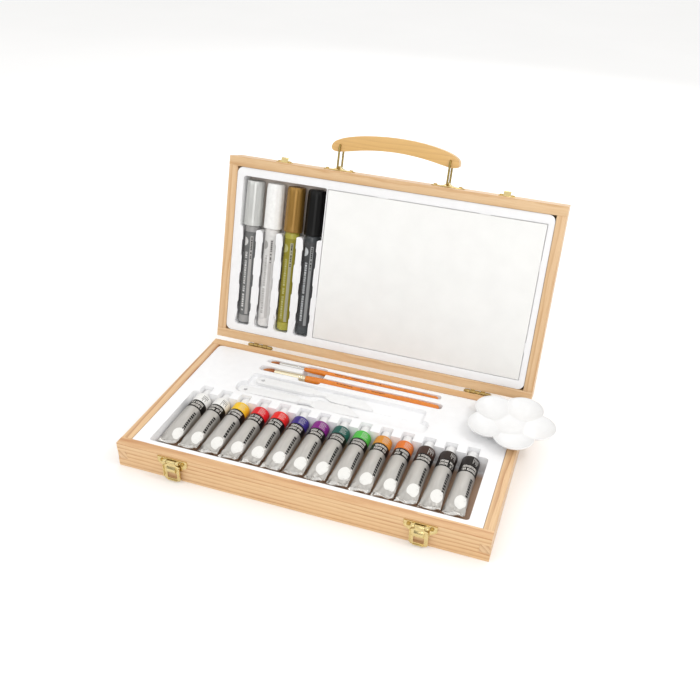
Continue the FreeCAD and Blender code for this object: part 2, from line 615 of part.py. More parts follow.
# --------------------------------------------------------------------- output
emit("base_rail_front", base_rails[0])
emit("base_rail_rear", base_rails[1])
emit("base_rail_left", base_rails[2])
emit("base_rail_right", base_rails[3])
emit("base_panel", base_panel)
emit("base_insert", base_insert)
emit("base_hinge_leaves", *base_leaves)
emit("hinge_pins", *hinge_pins)
emit("hinge_screws_base", *hinge_screws_base)
emit("latch_plates", *[latch_plate(x) for x in LATCH_X])
emit("latch_pins", *[latch_pin(x) for x in LATCH_X])
emit("latch_screws", *[screw(p, (0, 1, 0)) for p in latch_screw_p])
emit("latch_hasp_left", latch_hasp(LATCH_X[0]))
emit("latch_hasp_right", latch_hasp(LATCH_X[1]))

emit("lid_rail_front", lid_rails[0], lid=True)
emit("lid_rail_rear", lid_rails[1], lid=True)
emit("lid_rail_left", lid_rails[2], lid=True)
emit("lid_rail_right", lid_rails[3], lid=True)
emit("lid_panel", lid_panel, lid=True)
emit("lid_insert", lid_insert, lid=True)
emit("lid_hinge_leaves", *lid_leaves, lid=True)
emit("lid_catches", *[catch(x) for x in LATCH_X], lid=True)
emit("handle_brackets", *[bracket(x) for x in HANDLE_X], lid=True)
emit("lid_screws", *([screw(p, (0, 1, 0)) for p in catch_screw_p + bracket_screw_p]
                     + hinge_screws_lid), lid=True)
emit("handle_bail_left", bail(HANDLE_X[0]), lid=True)
emit("handle_bail_right", bail(HANDLE_X[1]), lid=True)
emit("handle_grip", grip(), lid=True)

emit("canvas_board", board(), lid=True)
for name, x in zip(("silver", "white", "gold", "black"), MARKER_X):
    b, c = marker(x)
    emit("marker_%s_body" % name, b, lid=True)
    emit("marker_%s_cap" % name, c, lid=True)

for i, x in enumerate(TUBE_X):
    emit("paint_tube_%02d" % (i + 1), *tube(x))

for name, args in (("small", (75.0, 22.6, -95.0, -84.6, -58.0, 80.0,
                              1.9, 1.5, 2.8, 1.6)),
                   ("large", (61.0, 21.6, -97.0, -84.0, -51.0, 84.5,
                              3.2, 2.6, 3.9, 2.9))):
    hair, ferrule, handle = brush(*args)
    emit("brush_%s_bristles" % name, hair)
    emit("brush_%s_ferrule" % name, ferrule)
    emit("brush_%s_handle" % name, handle)

emit("palette_knife_front", knife(-104.5, 22.0, 2.6))
emit("palette_knife_rear", knife(-95.0, 41.6, 0.0))
emit("flower_palette", palette())
print(len(WRITTEN), "nodes")
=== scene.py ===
import bpy, bmesh, json, math, random
from mathutils import Vector, Matrix, Euler

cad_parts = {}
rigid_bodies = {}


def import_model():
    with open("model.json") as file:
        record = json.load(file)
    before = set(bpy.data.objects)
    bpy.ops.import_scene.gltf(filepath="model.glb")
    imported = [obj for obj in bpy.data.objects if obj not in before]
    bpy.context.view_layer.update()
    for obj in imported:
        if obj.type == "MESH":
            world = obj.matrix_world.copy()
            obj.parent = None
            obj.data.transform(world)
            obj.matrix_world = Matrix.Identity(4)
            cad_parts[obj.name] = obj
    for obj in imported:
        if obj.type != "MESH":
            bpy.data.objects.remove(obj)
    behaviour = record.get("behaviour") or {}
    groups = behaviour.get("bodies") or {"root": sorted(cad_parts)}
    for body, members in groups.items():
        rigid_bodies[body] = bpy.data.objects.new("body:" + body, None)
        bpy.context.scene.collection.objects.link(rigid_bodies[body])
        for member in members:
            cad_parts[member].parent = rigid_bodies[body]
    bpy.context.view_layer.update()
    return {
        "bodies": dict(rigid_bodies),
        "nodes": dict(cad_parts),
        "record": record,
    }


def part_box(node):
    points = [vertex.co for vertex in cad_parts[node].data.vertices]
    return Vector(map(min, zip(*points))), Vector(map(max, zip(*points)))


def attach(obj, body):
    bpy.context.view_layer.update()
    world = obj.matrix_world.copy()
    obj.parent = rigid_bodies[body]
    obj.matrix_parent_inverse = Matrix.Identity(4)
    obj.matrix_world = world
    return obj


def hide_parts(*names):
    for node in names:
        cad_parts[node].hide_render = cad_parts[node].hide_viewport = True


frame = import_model()
NODES = frame["nodes"]
MM = 0.001

# ------------------------------------------------------------------ layout
def lo(node):
    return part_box(node)[0] / MM


def hi(node):
    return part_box(node)[1] / MM


def mid(node):
    return (lo(node) + hi(node)) / 2


def half(node):
    return (hi(node) - lo(node)) / 2


LID = next(j for j in frame["record"]["behaviour"]["joints"] if j["name"] == "lid_hinge")
PIN_Y, PIN_Z = LID["pos_m"][1] / MM, LID["pos_m"][2] / MM
OPEN_DEG = abs(LID["range_deg"][0])
BASE_H = hi("base_rail_front").z
LZ0 = 2 * PIN_Z - BASE_H
TUBE_NODES = ["paint_tube_%02d" % (i + 1) for i in range(14)]
TUBE_X = [mid(n).x for n in TUBE_NODES]
TUBE_Z, TUBE_R = mid(TUBE_NODES[0]).z, half(TUBE_NODES[0]).z
TUBE_END_Y = lo(TUBE_NODES[0]).y
SHOULDER_Y = hi(TUBE_NODES[0]).y - 11.5
rnd = random.Random(7)

OPEN = (Matrix.Translation((0, PIN_Y, PIN_Z))
        @ Matrix.Rotation(math.radians(-OPEN_DEG), 4, "X")
        @ Matrix.Translation((0, -PIN_Y, -PIN_Z)))
SHUT = OPEN.inverted()


def shut_box(node):
    """Corners of a lid node in the closed position, in millimetres."""
    pts = [SHUT @ (v.co / MM) for v in NODES[node].data.vertices]
    return (Vector([min(p[k] for p in pts) for k in range(3)]),
            Vector([max(p[k] for p in pts) for k in range(3)]))


# ----------------------------------------------------------------- materials
class Mat:
    """A small node-tree writer: values, links and the common maths."""

    def __init__(self, name):
        self.m = bpy.data.materials.new(name)
        self.m.use_nodes = True
        self.t = self.m.node_tree
        self.t.nodes.clear()
        self.out = self.t.nodes.new("ShaderNodeOutputMaterial")
        self.b = self.t.nodes.new("ShaderNodeBsdfPrincipled")
        self.t.links.new(self.b.outputs[0], self.out.inputs[0])
        self._loc = None

    def node(self, kind, **props):
        n = self.t.nodes.new(kind)
        for k, v in props.items():
            setattr(n, k, v)
        return n

    def put(self, sock, v):
        if v is None:
            return
        if hasattr(v, "is_output"):
            self.t.links.new(v, sock)
        else:
            sock.default_value = v

    def loc(self):
        if self._loc is None:
            n = self.node("ShaderNodeAttribute", attribute_name="loc")
            self._loc = n.outputs["Vector"]
        return self._loc

    def math(self, op, a, b=None, c=None, clamp=False):
        n = self.node("ShaderNodeMath", operation=op, use_clamp=clamp)
        self.put(n.inputs[0], a)
        self.put(n.inputs[1], b)
        self.put(n.inputs[2], c)
        return n.outputs[0]

    def vmul(self, v, s):
        n = self.node("ShaderNodeVectorMath", operation="MULTIPLY")
        self.put(n.inputs[0], v)
        n.inputs[1].default_value = s
        return n.outputs[0]

    def sep(self, v):
        n = self.node("ShaderNodeSeparateXYZ")
        self.put(n.inputs[0], v)
        return n.outputs

    def noise(self, v, scale=1.0, detail=3.0, rough=0.5, dist=0.0):
        n = self.node("ShaderNodeTexNoise")
        self.put(n.inputs["Vector"], v)
        n.inputs["Scale"].default_value = scale
        n.inputs["Detail"].default_value = detail
        n.inputs["Roughness"].default_value = rough
        n.inputs["Distortion"].default_value = dist
        return n.outputs["Fac"]

    def ramp(self, fac, stops, interp="LINEAR"):
        n = self.node("ShaderNodeValToRGB")
        n.color_ramp.interpolation = interp
        el = n.color_ramp.elements
        while len(el) > 1:
            el.remove(el[-1])
        el[0].position, el[0].color = stops[0][0], col(stops[0][1])
        for p, c in stops[1:]:
            e = el.new(p)
            e.color = col(c)
        self.put(n.inputs[0], fac)
        return n.outputs[0]

    def mix(self, fac, a, b, mode="MIX"):
        n = self.node("ShaderNodeMix", data_type="RGBA", blend_type=mode)
        self.put(n.inputs[0], fac)
        self.put(n.inputs[6], col(a) if isinstance(a, (tuple, list)) else a)
        self.put(n.inputs[7], col(b) if isinstance(b, (tuple, list)) else b)
        return n.outputs[2]

    def maprange(self, v, a, b, c, d):
        n = self.node("ShaderNodeMapRange")
        self.put(n.inputs[0], v)
        for i, x in enumerate((a, b, c, d)):
            n.inputs[i + 1].default_value = x
        return n.outputs[0]

    def bump(self, height, strength=0.2, dist=0.1):
        n = self.node("ShaderNodeBump")
        n.inputs["Strength"].default_value = strength
        n.inputs["Distance"].default_value = dist * MM
        self.put(n.inputs["Height"], height)
        self.t.links.new(n.outputs[0], self.b.inputs["Normal"])
        return n

    def set(self, **kw):
        for k, v in kw.items():
            s = self.b.inputs[k.replace("_", " ")]
            if isinstance(v, (tuple, list)) and len(v) == 3 and s.type == "RGBA":
                v = col(v)
            self.put(s, v)
        return self


def srgb(h):
    h = h.lstrip("#")
    out = []
    for i in (0, 2, 4):
        c = int(h[i:i + 2], 16) / 255
        out.append(c / 12.92 if c <= 0.04045 else ((c + 0.055) / 1.055) ** 2.4)
    return tuple(out)


def col(c):
    if isinstance(c, (int, float)):
        c = (c, c, c)
    return tuple(c[:3]) + (1.0,)


def wood(name, pale, mid, dark, spacing=4.3, contrast=1.0, rough=0.42,
         fibre=1.0, coat=0.12):
    """Softwood: growth rings about a far pith, fibres along x, light lacquer."""
    m = Mat(name)
    v = m.loc()
    x, y, z = m.sep(v)
    warp = m.noise(m.vmul(v, (0.008, 0.05, 0.05)), 1.0, 2.0, 0.5)
    warp2 = m.noise(m.vmul(v, (0.03, 0.25, 0.25)), 1.0, 3.0, 0.55)
    yy = m.math("ADD", y, m.math("MULTIPLY", warp, 10.0))
    zz = m.math("ADD", z, m.math("MULTIPLY", warp2, 2.2))
    r = m.math("SQRT", m.math("ADD", m.math("MULTIPLY", yy, yy),
                              m.math("MULTIPLY", zz, zz)))
    ring = m.math("FRACT", m.math("DIVIDE", r, spacing))
    line = m.ramp(ring, [(0.0, 0.10), (0.12, 0.0), (0.50, 0.12), (0.78, 0.62),
                         (0.90, 1.0), (0.965, 0.55), (1.0, 0.10)])
    patch = m.noise(m.vmul(v, (0.012, 0.13, 0.13)), 1.0, 2.0, 0.5)
    amount = m.math("MULTIPLY", m.maprange(patch, 0.3, 0.7, 0.35, 1.0), contrast)
    fib = m.noise(m.vmul(v, (0.05, 2.2, 2.2)), 1.0, 4.0, 0.6)
    fleck = m.noise(m.vmul(v, (0.16, 7.0, 7.0)), 1.0, 2.0, 0.5)
    tone = m.noise(m.vmul(v, (0.004, 0.03, 0.03)), 1.0, 1.0, 0.5)
    c = m.mix(m.maprange(tone, 0.3, 0.7, 0.0, 0.55), pale, mid)
    c = m.mix(m.math("MULTIPLY", line, amount, clamp=True), c, dark)
    c = m.mix(m.math("MULTIPLY", m.maprange(fib, 0.42, 0.72, 0.0, 0.30), fibre),
              c, dark)
    c = m.mix(m.math("MULTIPLY", m.maprange(fleck, 0.62, 0.75, 0.0, 0.22), fibre),
              c, tuple(k * 0.62 for k in dark))
    m.set(Base_Color=c, Roughness=m.maprange(fib, 0.3, 0.7, rough - 0.06, rough + 0.10),
          Coat_Weight=coat, Coat_Roughness=0.25, IOR=1.5)
    h = m.math("ADD", m.math("MULTIPLY", fib, 0.7), m.math("MULTIPLY", line, -0.5))
    m.bump(h, 0.30, 0.10)
    return m.m


def brass(name, base="#E9CC78", rough=0.17):
    m = Mat(name)
    v = m.loc()
    n1 = m.noise(m.vmul(v, (0.35, 0.35, 0.35)), 1.0, 3.0, 0.6)
    n2 = m.noise(m.vmul(v, (6.0, 0.8, 0.8)), 1.0, 3.0, 0.6)
    b = srgb(base)
    c = m.mix(m.maprange(n1, 0.35, 0.7, 0.0, 0.6), b, (b[0] * 0.86, b[1] * 0.78, b[2] * 0.62))
    m.set(Base_Color=c, Metallic=1.0,
          Roughness=m.math("ADD", m.maprange(n1, 0.3, 0.7, rough, rough + 0.12),
                           m.maprange(n2, 0.3, 0.7, 0.0, 0.05)))
    m.bump(m.math("ADD", m.math("MULTIPLY", n1, 0.8), m.math("MULTIPLY", n2, 0.2)), 0.16, 0.12)
    return m.m


def plastic(name, base, rough=0.35, tex=0.5, coat=0.0, sss=0.0, var=0.04,
            scale=0.25, painted_shade=None, ior=1.49):
    """Moulded or formed plastic with a faint orange-peel and tone variation, plus optional painted shade that
    tints the deeper parts of a tray.
    """
    m = Mat(name)
    v = m.loc()
    b = srgb(base) if isinstance(base, str) else base
    n1 = m.noise(m.vmul(v, (scale,) * 3), 1.0, 3.0, 0.55)
    n2 = m.noise(m.vmul(v, (scale * 9,) * 3), 1.0, 2.0, 0.5)
    c = m.mix(m.maprange(n1, 0.3, 0.7, 0.0, 1.0), tuple(k * (1 - var) for k in b),
              tuple(min(1.0, k * (1 + var * 0.6)) for k in b))
    # painted shade: the colour is mixed towards the shade tint as depth goes from start to depth mm, ramped
    # by y from y0 to y1 and by x from x0 to x1
    if painted_shade is not None:
        start, depth, shade_tint, y0, y1, x0, x1 = painted_shade
        x, y, z = m.sep(v)
        f = m.math("MULTIPLY", m.maprange(z, start, depth, 0.0, 1.0),
                   m.maprange(y, y0, y1, 0.0, 1.0))
        f = m.math("MULTIPLY", f, m.maprange(x, x0, x1, 0.0, 1.0))
        c = m.mix(f, c, shade_tint)
    m.set(Base_Color=c, Roughness=m.maprange(n2, 0.3, 0.7, rough - 0.04, rough + 0.06),
          Coat_Weight=coat, Coat_Roughness=0.1, IOR=ior)
    if sss:
        m.set(Subsurface_Weight=sss, Subsurface_Scale=0.002,
              Subsurface_Radius=(1.0, 0.9, 0.8))
    m.bump(m.math("ADD", m.math("MULTIPLY", n1, 0.6), m.math("MULTIPLY", n2, 0.4)),
           0.12 * tex, 0.15)
    return m.m


def metal_paint(name, base, metallic=0.75, rough=0.34, stretch=(0.25, 0.03, 0.25),
                streak=0.10, coat=0.15, bump=0.2):
    """Satin lacquered or anodised metal with lengthwise streaks."""
    m = Mat(name)
    v = m.loc()
    b = srgb(base) if isinstance(base, str) else base
    n1 = m.noise(m.vmul(v, stretch), 1.0, 3.0, 0.6)
    n2 = m.noise(m.vmul(v, (1.6, 1.6, 1.6)), 1.0, 3.0, 0.6)
    c = m.mix(m.maprange(n1, 0.3, 0.7, 0.0, 1.0), tuple(k * (1 - streak) for k in b),
              tuple(min(1.0, k * (1 + streak)) for k in b))
    m.set(Base_Color=c, Metallic=metallic,
          Roughness=m.maprange(n2, 0.3, 0.7, rough - 0.05, rough + 0.08),
          Coat_Weight=coat, Coat_Roughness=0.2)
    m.bump(m.math("ADD", n1, m.math("MULTIPLY", n2, 0.35)), bump, 0.15)
    return m.m


def canvas(name):
    """Primed cotton canvas on board: fine plain weave under white gesso."""
    m = Mat(name)
    v = m.loc()
    x, y, z = m.sep(v)
    wob = m.noise(m.vmul(v, (0.3, 0.3, 0.3)), 1.0, 2.0, 0.5)
    xs = m.math("SINE", m.math("MULTIPLY", m.math("ADD", x, m.math("MULTIPLY", wob, 0.5)), 6.6))
    ys = m.math("SINE", m.math("MULTIPLY", m.math("ADD", y, m.math("MULTIPLY", wob, 0.5)), 6.6))
    weave = m.math("MULTIPLY", xs, ys)
    n = m.noise(m.vmul(v, (0.05, 0.05, 0.05)), 1.0, 3.0, 0.5)
    c = m.mix(m.maprange(n, 0.3, 0.7, 0.0, 1.0), srgb("#F0F0EE"), srgb("#F4F4F2"))
    c = m.mix(m.maprange(weave, -1.0, 1.0, 0.05, 0.0), c, srgb("#D9D7D0"))
    m.set(Base_Color=c, Roughness=0.72, IOR=1.4)
    m.bump(m.math("ADD", m.math("MULTIPLY", weave, 0.5), m.math("MULTIPLY", n, 0.3)), 0.22, 0.10)
    return m.m


def bristle(name, root, tip):
    m = Mat(name)
    v = m.loc()
    x, y, z = m.sep(v)
    n = m.noise(m.vmul(v, (0.12, 6.0, 6.0)), 1.0, 3.0, 0.6)
    c = m.mix(m.maprange(x, 0.0, 1.0, 0.0, 1.0), tip, root)
    c = m.mix(m.maprange(n, 0.35, 0.7, 0.0, 0.5), c, tuple(k * 0.35 for k in root))
    m.set(Base_Color=c, Roughness=0.45, Sheen_Weight=0.2, Sheen_Roughness=0.4)
    m.bump(n, 0.5, 0.12)
    return m.m


PINE = wood("pine_base", srgb("#E7C596"), srgb("#DFB582"), srgb("#B4723A"), 4.2, 0.95)
PINE_SIDE = wood("pine_base_side", srgb("#E6C69A"), srgb("#DDB688"), srgb("#A96C3C"), 4.6, 0.95)
PINE_LID = wood("pine_lid", srgb("#E4C398"), srgb("#DEBA8C"), srgb("#BE884F"), 3.1, 0.70)
PINE_LID_SIDE = wood("pine_lid_side", srgb("#E3C196"), srgb("#DCB88B"), srgb("#BE884F"), 3.6, 0.80)
PLY = wood("plywood", srgb("#DFC294"), srgb("#D2AE7C"), srgb("#A87646"), 17.0, 0.40, 0.55)
GRIP = wood("beech_grip", srgb("#E3B976"), srgb("#D9AC69"), srgb("#B07A3E"), 3.6, 0.32,
            0.34, 0.7, 0.25)
BRASS = brass("brass", "#E2CF98", 0.16)
BRASS_WIRE = brass("brass_wire", "#AD985C", 0.2)
# painted shade: the hinge leaves and knuckles get a darker copy of the brass, standing in for the shade of
# the gap they sit in
BRASS_HINGE_SHADED = brass("brass_hinge_shaded", "#B49A62", 0.2)
BRASS_DARK = brass("brass_screws", "#C2A25C", 0.24)
# painted shade: the deep tube pocket of the base tray is tinted brown, and the deep marker recess of the lid
# tray a pale warm grey, where they lie in shade
TRAY = plastic("formed_white", "#F3F3F4", 0.33, 0.6, 0.1, 0.0, 0.02, 0.12,
               painted_shade=(6.0, 15.0, srgb("#CBA78A"), 1.0, -6.0, -141.0, -133.0))
TRAY_LID = plastic("formed_white_lid", "#F3F3F4", 0.33, 0.6, 0.1, 0.0, 0.02, 0.12,
                   painted_shade=(13.0, 20.0, srgb("#E6D8CC"), -20.0, -30.0, -160.0, -150.0))
CANVAS = canvas("canvas_board")
WHITE = plastic("gloss_white", "#ECECEC", 0.36, 0.35, 0.08, 0.0, 0.02, 0.2)
CAP_W = plastic("cap_white", "#EAE9E8", 0.30, 0.35, 0.2, 0.0, 0.02, 0.5)
STICKER = plastic("paper_sticker", "#E9E8E4", 0.6, 0.8, 0.0, 0.0, 0.03, 1.2)
TUBE = metal_paint("tube_lacquer", "#BCB9B4", 0.62, 0.34, (0.3, 0.02, 0.3), 0.07, 0.15, 0.12)
TUBE_FOOT = metal_paint("tube_crimp", "#D6D4D0", 0.88, 0.22, (0.5, 0.25, 0.5), 0.12, 0.1, 0.5)
INK = plastic("ink_black", "#1B1816", 0.45, 0.4, 0.0, 0.0, 0.06, 0.8, None, 1.3)
BAND_BLACK = plastic("band_black", "#15110F", 0.42, 0.4, 0.0, 0.0, 0.08, 0.4, None, 1.33)
INK_PALE = plastic("ink_pale", "#C9C6C2", 0.45, 0.3, 0.0, 0.0, 0.05, 0.8)
INK_DIM = plastic("ink_dim", "#D6D2CC", 0.45, 0.3, 0.0, 0.0, 0.05, 0.8, None, 1.38)
FERRULE = metal_paint("ferrule_gold", "#EADFC2", 1.0, 0.16, (0.02, 1.2, 1.2), 0.10, 0.0, 0.12)
FERRULE_S = metal_paint("ferrule_silver", "#DAD9D6", 1.0, 0.15, (0.02, 1.2, 1.2), 0.08, 0.0, 0.12)
ORANGE = plastic("orange_lacquer", "#DB7C17", 0.18, 0.4, 0.35, 0.0, 0.10, 0.3)
HAIR = bristle("bristles", srgb("#A2521B"), srgb("#D08236"))


# ------------------------------------------------------------------ geometry
def loc_attr(me, fn):
    a = me.attributes.new("loc", "FLOAT_VECTOR", "POINT")
    flat = []
    for v in me.vertices:
        flat.extend(fn(v.co / MM))
    a.data.foreach_set("vector", flat)


def finish_mesh(o, smooth=35.0):
    me = o.data
    for p in me.polygons:
        p.use_smooth = True
    me.set_sharp_from_angle(angle=math.radians(smooth))


def add(name, me, body, mats, nodes=()):
    o = bpy.data.objects.new(name, me)
    bpy.context.scene.collection.objects.link(o)

    for m in mats:
        me.materials.append(m)
    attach(o, body)
    if nodes:
        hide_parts(*nodes)
    return o


def body_of_node(n):
    for b, ns in frame["record"]["behaviour"]["bodies"].items():
        if n in ns:
            return b


def sharp_edges(bm, deg=38.0):
    out = []
    for e in bm.edges:
        if len(e.link_faces) == 2 and e.calc_face_angle(0.0) > math.radians(deg):
            out.append(e)
    return out


def soften(node, name, mats, width=0.3, seg=2, loc=None, smooth=30.0, deg=38.0,
           pick=None, dissolve=0.6, shape=None):
    """A copy of a CAD node with its sharp edges rounded."""
    src = NODES[node].data
    bm = bmesh.new()
    bm.from_mesh(src)
    bmesh.ops.remove_doubles(bm, verts=bm.verts, dist=2e-6)
    bmesh.ops.dissolve_limit(bm, angle_limit=math.radians(dissolve),
                             verts=bm.verts, edges=bm.edges)
    if width:
        es = sharp_edges(bm, deg)
        if pick:
            es = [e for e in es if pick(e)]
        bmesh.ops.bevel(bm, geom=es, offset=width * MM, segments=seg, profile=0.5,
                        affect="EDGES", clamp_overlap=True, miter_outer="SHARP")
    bmesh.ops.triangulate(bm, faces=[f for f in bm.faces if len(f.verts) > 4])
    if shape:
        shape(bm)
    me = bpy.data.meshes.new(name)
    bm.to_mesh(me)
    bm.free()
    loc_attr(me, loc or (lambda p: p))
    o = add(name, me, body_of_node(node), mats, [node])
    finish_mesh(o, smooth)
    return o


def lathe(profile, segs=48, close=True):
    """Verts and faces of a revolved profile [(along, radius)], axis +Y."""
    vs, fs = [], []
    for a, r in profile:
        for i in range(segs):
            t = 2 * math.pi * i / segs
            vs.append((r * math.sin(t), a, r * math.cos(t)))
    n = len(profile)
    for j in range(n - 1):
        for i in range(segs):
            k = (i + 1) % segs
            fs.append((j * segs + i, j * segs + k, (j + 1) * segs + k, (j + 1) * segs + i))
    if close:
        fs.append(tuple(range(segs))[::-1])
        fs.append(tuple((n - 1) * segs + i for i in range(segs)))
    return vs, fs


def mesh(name, vs, fs, place=None, idx=None, loc=None, recalc=True):
    """Mesh from millimetre points. loc maps the point before place is applied."""
    me = bpy.data.meshes.new(name)
    me.from_pydata([tuple(v) for v in vs], [], fs)
    if idx:
        for p, i in zip(me.polygons, idx):
            p.material_index = i
    a = me.attributes.new("loc", "FLOAT_VECTOR", "POINT")
    flat = []
    for v in me.vertices:
        flat.extend(loc(v.co) if loc else v.co)
    a.data.foreach_set("vector", flat)
    if recalc:
        bm = bmesh.new()
        bm.from_mesh(me)
        bmesh.ops.recalc_face_normals(bm, faces=bm.faces)
        bm.to_mesh(me)
        bm.free()
    if place is not None:
        me.transform(place)
    me.transform(Matrix.Scale(MM, 4))
    me.update()
    return me


def join(parts):
    """[(verts, faces, material index)] -> verts, faces, indices."""
    vs, fs, idx = [], [], []
    for v, f, i in parts:
        k = len(vs)
        vs += v
        for n, q in enumerate(f):
            fs.append(tuple(a + k for a in q))
            idx.append(i[n] if isinstance(i, (list, tuple)) else i)
    return vs, fs, idx


# -------------------------------------------------------------- wooden frame
def rail_loc(axis, shut, seed):
    r = random.Random(seed)
    ox, oy, oz = r.uniform(0, 900), r.uniform(-14, 14), r.uniform(-70, -48)
    def f(p):
        p = SHUT @ p if shut else p
        if axis == "x":
            return (p.x + ox, p.y * 0.9 + 80 * (1 if p.y < 0 else -1) + oy, p.z + oz)
        return (p.y + ox, (p.x + p.z) * 0.75 + 260 + oy, (p.z - p.x) * 0.1 + oz * 0.1)
    return f


for i, (tag, mat, shut) in enumerate((("base", PINE, False), ("lid", PINE_LID, True))):
    for j, (side, ax) in enumerate((("front", "x"), ("rear", "x"), ("left", "y"), ("right", "y"))):
        sides = PINE_SIDE if tag == "base" else PINE_LID_SIDE
        soften("%s_rail_%s" % (tag, side), "wood_%s_rail_%s" % (tag, side),
               [mat if ax == "x" else sides],
               0.45, 3, rail_loc(ax, shut, 11 * i + j + 3))
    soften("%s_panel" % tag, "wood_%s_panel" % tag, [PLY], 0.0, 1,
           (lambda p, s=shut: (lambda q: (q.x * 1.0 + 40, q.y * 0.35 + 60, q.z + 40))(SHUT @ p if s else p)))

# ------------------------------------------------------------------- inserts
BZ = hi("base_insert").z


def tray_loc_base(p):
    return (p.x, p.y, max(0.0, BZ - p.z))


LIF = shut_box("lid_insert")[0].z


def tray_loc_lid(p):
    q = SHUT @ p
    return (q.x, q.y, max(0.0, q.z - LIF))


soften("base_insert", "formed_base_insert", [TRAY], 0.55, 3, tray_loc_base, 32.0)
CAP_X = sorted((shut_box("marker_%s_cap" % n)[0].x + shut_box("marker_%s_cap" % n)[1].x) / 2
               for n in ("silver", "white", "gold", "black"))
BARREL_R = (shut_box("marker_black_body")[1].x - shut_box("marker_black_body")[0].x) / 2
RIB_END = shut_box("marker_black_cap")[1].y + 2.0
RIB_FOOT = shut_box("marker_black_body")[1].y - 4.2
RIB_HALF = (CAP_X[1] - CAP_X[0]) / 2 - BARREL_R - 0.25
RIB_X = [(a + b) / 2 for a, b in zip(CAP_X, CAP_X[1:])]
RIB_X.append(CAP_X[-1] + BARREL_R + 0.25 + RIB_HALF)


def round_ribs(bm):
    """Set the rib ends back from the caps and round them over their width."""
    def cut(co, no, keep):
        geom = [f for f in bm.faces if keep(SHUT @ (f.calc_center_median() / MM))]
        geom += list({e for f in geom for e in f.edges}) + list({v for f in geom for v in f.verts})
        bmesh.ops.bisect_plane(bm, geom=geom, plane_co=(OPEN @ Vector(co)) * MM,
                               plane_no=OPEN.to_3x3() @ Vector(no), dist=1e-7)
    for xc in RIB_X:
        for k in range(-4, 5):
            cut((xc + k * RIB_HALF * 0.235, 0, 30), (1, 0, 0),
                lambda p: RIB_END - 12 < p.y < RIB_END + 90 and abs(p.x - xc) < 30)
    cut((0, 0, LIF + 4.2), (0, 0, 1), lambda p: p.x < RIB_X[-1] + 3 and p.y > RIB_END - 1)
    for v in bm.verts:
        p = SHUT @ (v.co / MM)
        depth = p.z - LIF
        if p.y > RIB_END - 0.8 and depth < 4.0:
            for cx in CAP_X:
                d = cx - BARREL_R - 0.25 - p.x
                if -0.4 < d < 2.1:
                    k = min(1.0, (p.y - RIB_END + 0.8) / 2.0)
                    k *= min(1.0, max(0.0, (RIB_FOOT - p.y) / 5.0))
                    p.x += 2.1 * k * (1 - max(0.0, depth) / 4.2)
                    v.co = (OPEN @ p) * MM
                    break
    for v in bm.verts:
        p = SHUT @ (v.co / MM)
        if abs(p.y - RIB_END) > 1.35:
            continue
        for xc in RIB_X:
            dx = abs(p.x - xc)
            if dx <= RIB_HALF + 0.75:
                q = min(0.985, dx / (RIB_HALF + 0.75))
                p.y += 0.9 + 3.1 * (1 - math.sqrt(1 - q * q))
                v.co = (OPEN @ p) * MM
                break


soften("lid_insert", "formed_lid_insert", [TRAY_LID], 0.55, 3, tray_loc_lid, 32.0,
       shape=round_ribs)
soften("canvas_board", "board_canvas", [CANVAS], 0.35, 2,
       lambda p: tuple(SHUT @ p))

# ------------------------------------------------------------------ hardware
for n in ("base_hinge_leaves", "lid_hinge_leaves", "latch_plates", "lid_catches",
          "handle_brackets", "latch_hasp_left", "latch_hasp_right"):
    # the hinge leaves take the darker brass with painted shade
    soften(n, "brass_" + n, [BRASS_HINGE_SHADED if "hinge" in n else BRASS], 0.14, 2, None, 32.0)
for n in ("hinge_pins", "latch_pins", "latch_screws", "lid_screws", "hinge_screws_base"):
    soften(n, "brass_" + n, [BRASS_DARK], 0.06, 1, None, 32.0)

# -------------------------------------------------------------------- handle
soften("handle_grip", "wood_handle_grip", [GRIP], 1.6, 5,
       lambda p: (lambda q: (q.x + 300, q.y + 150, q.z - 60))(SHUT @ p), 40.0, 50.0)
for n in ("handle_bail_left", "handle_bail_right"):
    soften(n, "wire_" + n, [BRASS_WIRE], 0.05, 1, None, 50.0)

# --------------------------------------------------------------- paint tubes
SECS = [(SHOULDER_Y, TUBE_R, TUBE_R, TUBE_Z), (-30.0, TUBE_R, TUBE_R, TUBE_Z),
        (-38.0, 8.37, 7.95, 16.0), (-46.0, 8.65, 6.9, 16.05),
        (-53.0, 8.98, 5.4, 16.2), (-59.0, 9.28, 3.7, 16.45),
        (-63.5, 9.48, 2.1, 16.75), (-66.2, 9.6, 0.9, 17.0), (-69.5, 9.6, 0.85, 17.0)]


def sec_at(y):
    for (y0, a0, b0, z0), (y1, a1, b1, z1) in zip(SECS, SECS[1:]):
        if y >= y1:
            t = (y0 - y) / (y0 - y1)
            t = min(1.0, max(0.0, t))
            return a0 + (a1 - a0) * t, b0 + (b1 - b0) * t, z0 + (z1 - z0) * t
    return SECS[-1][1:]


STICK_T, STICK_Y = 0.24, -56.2


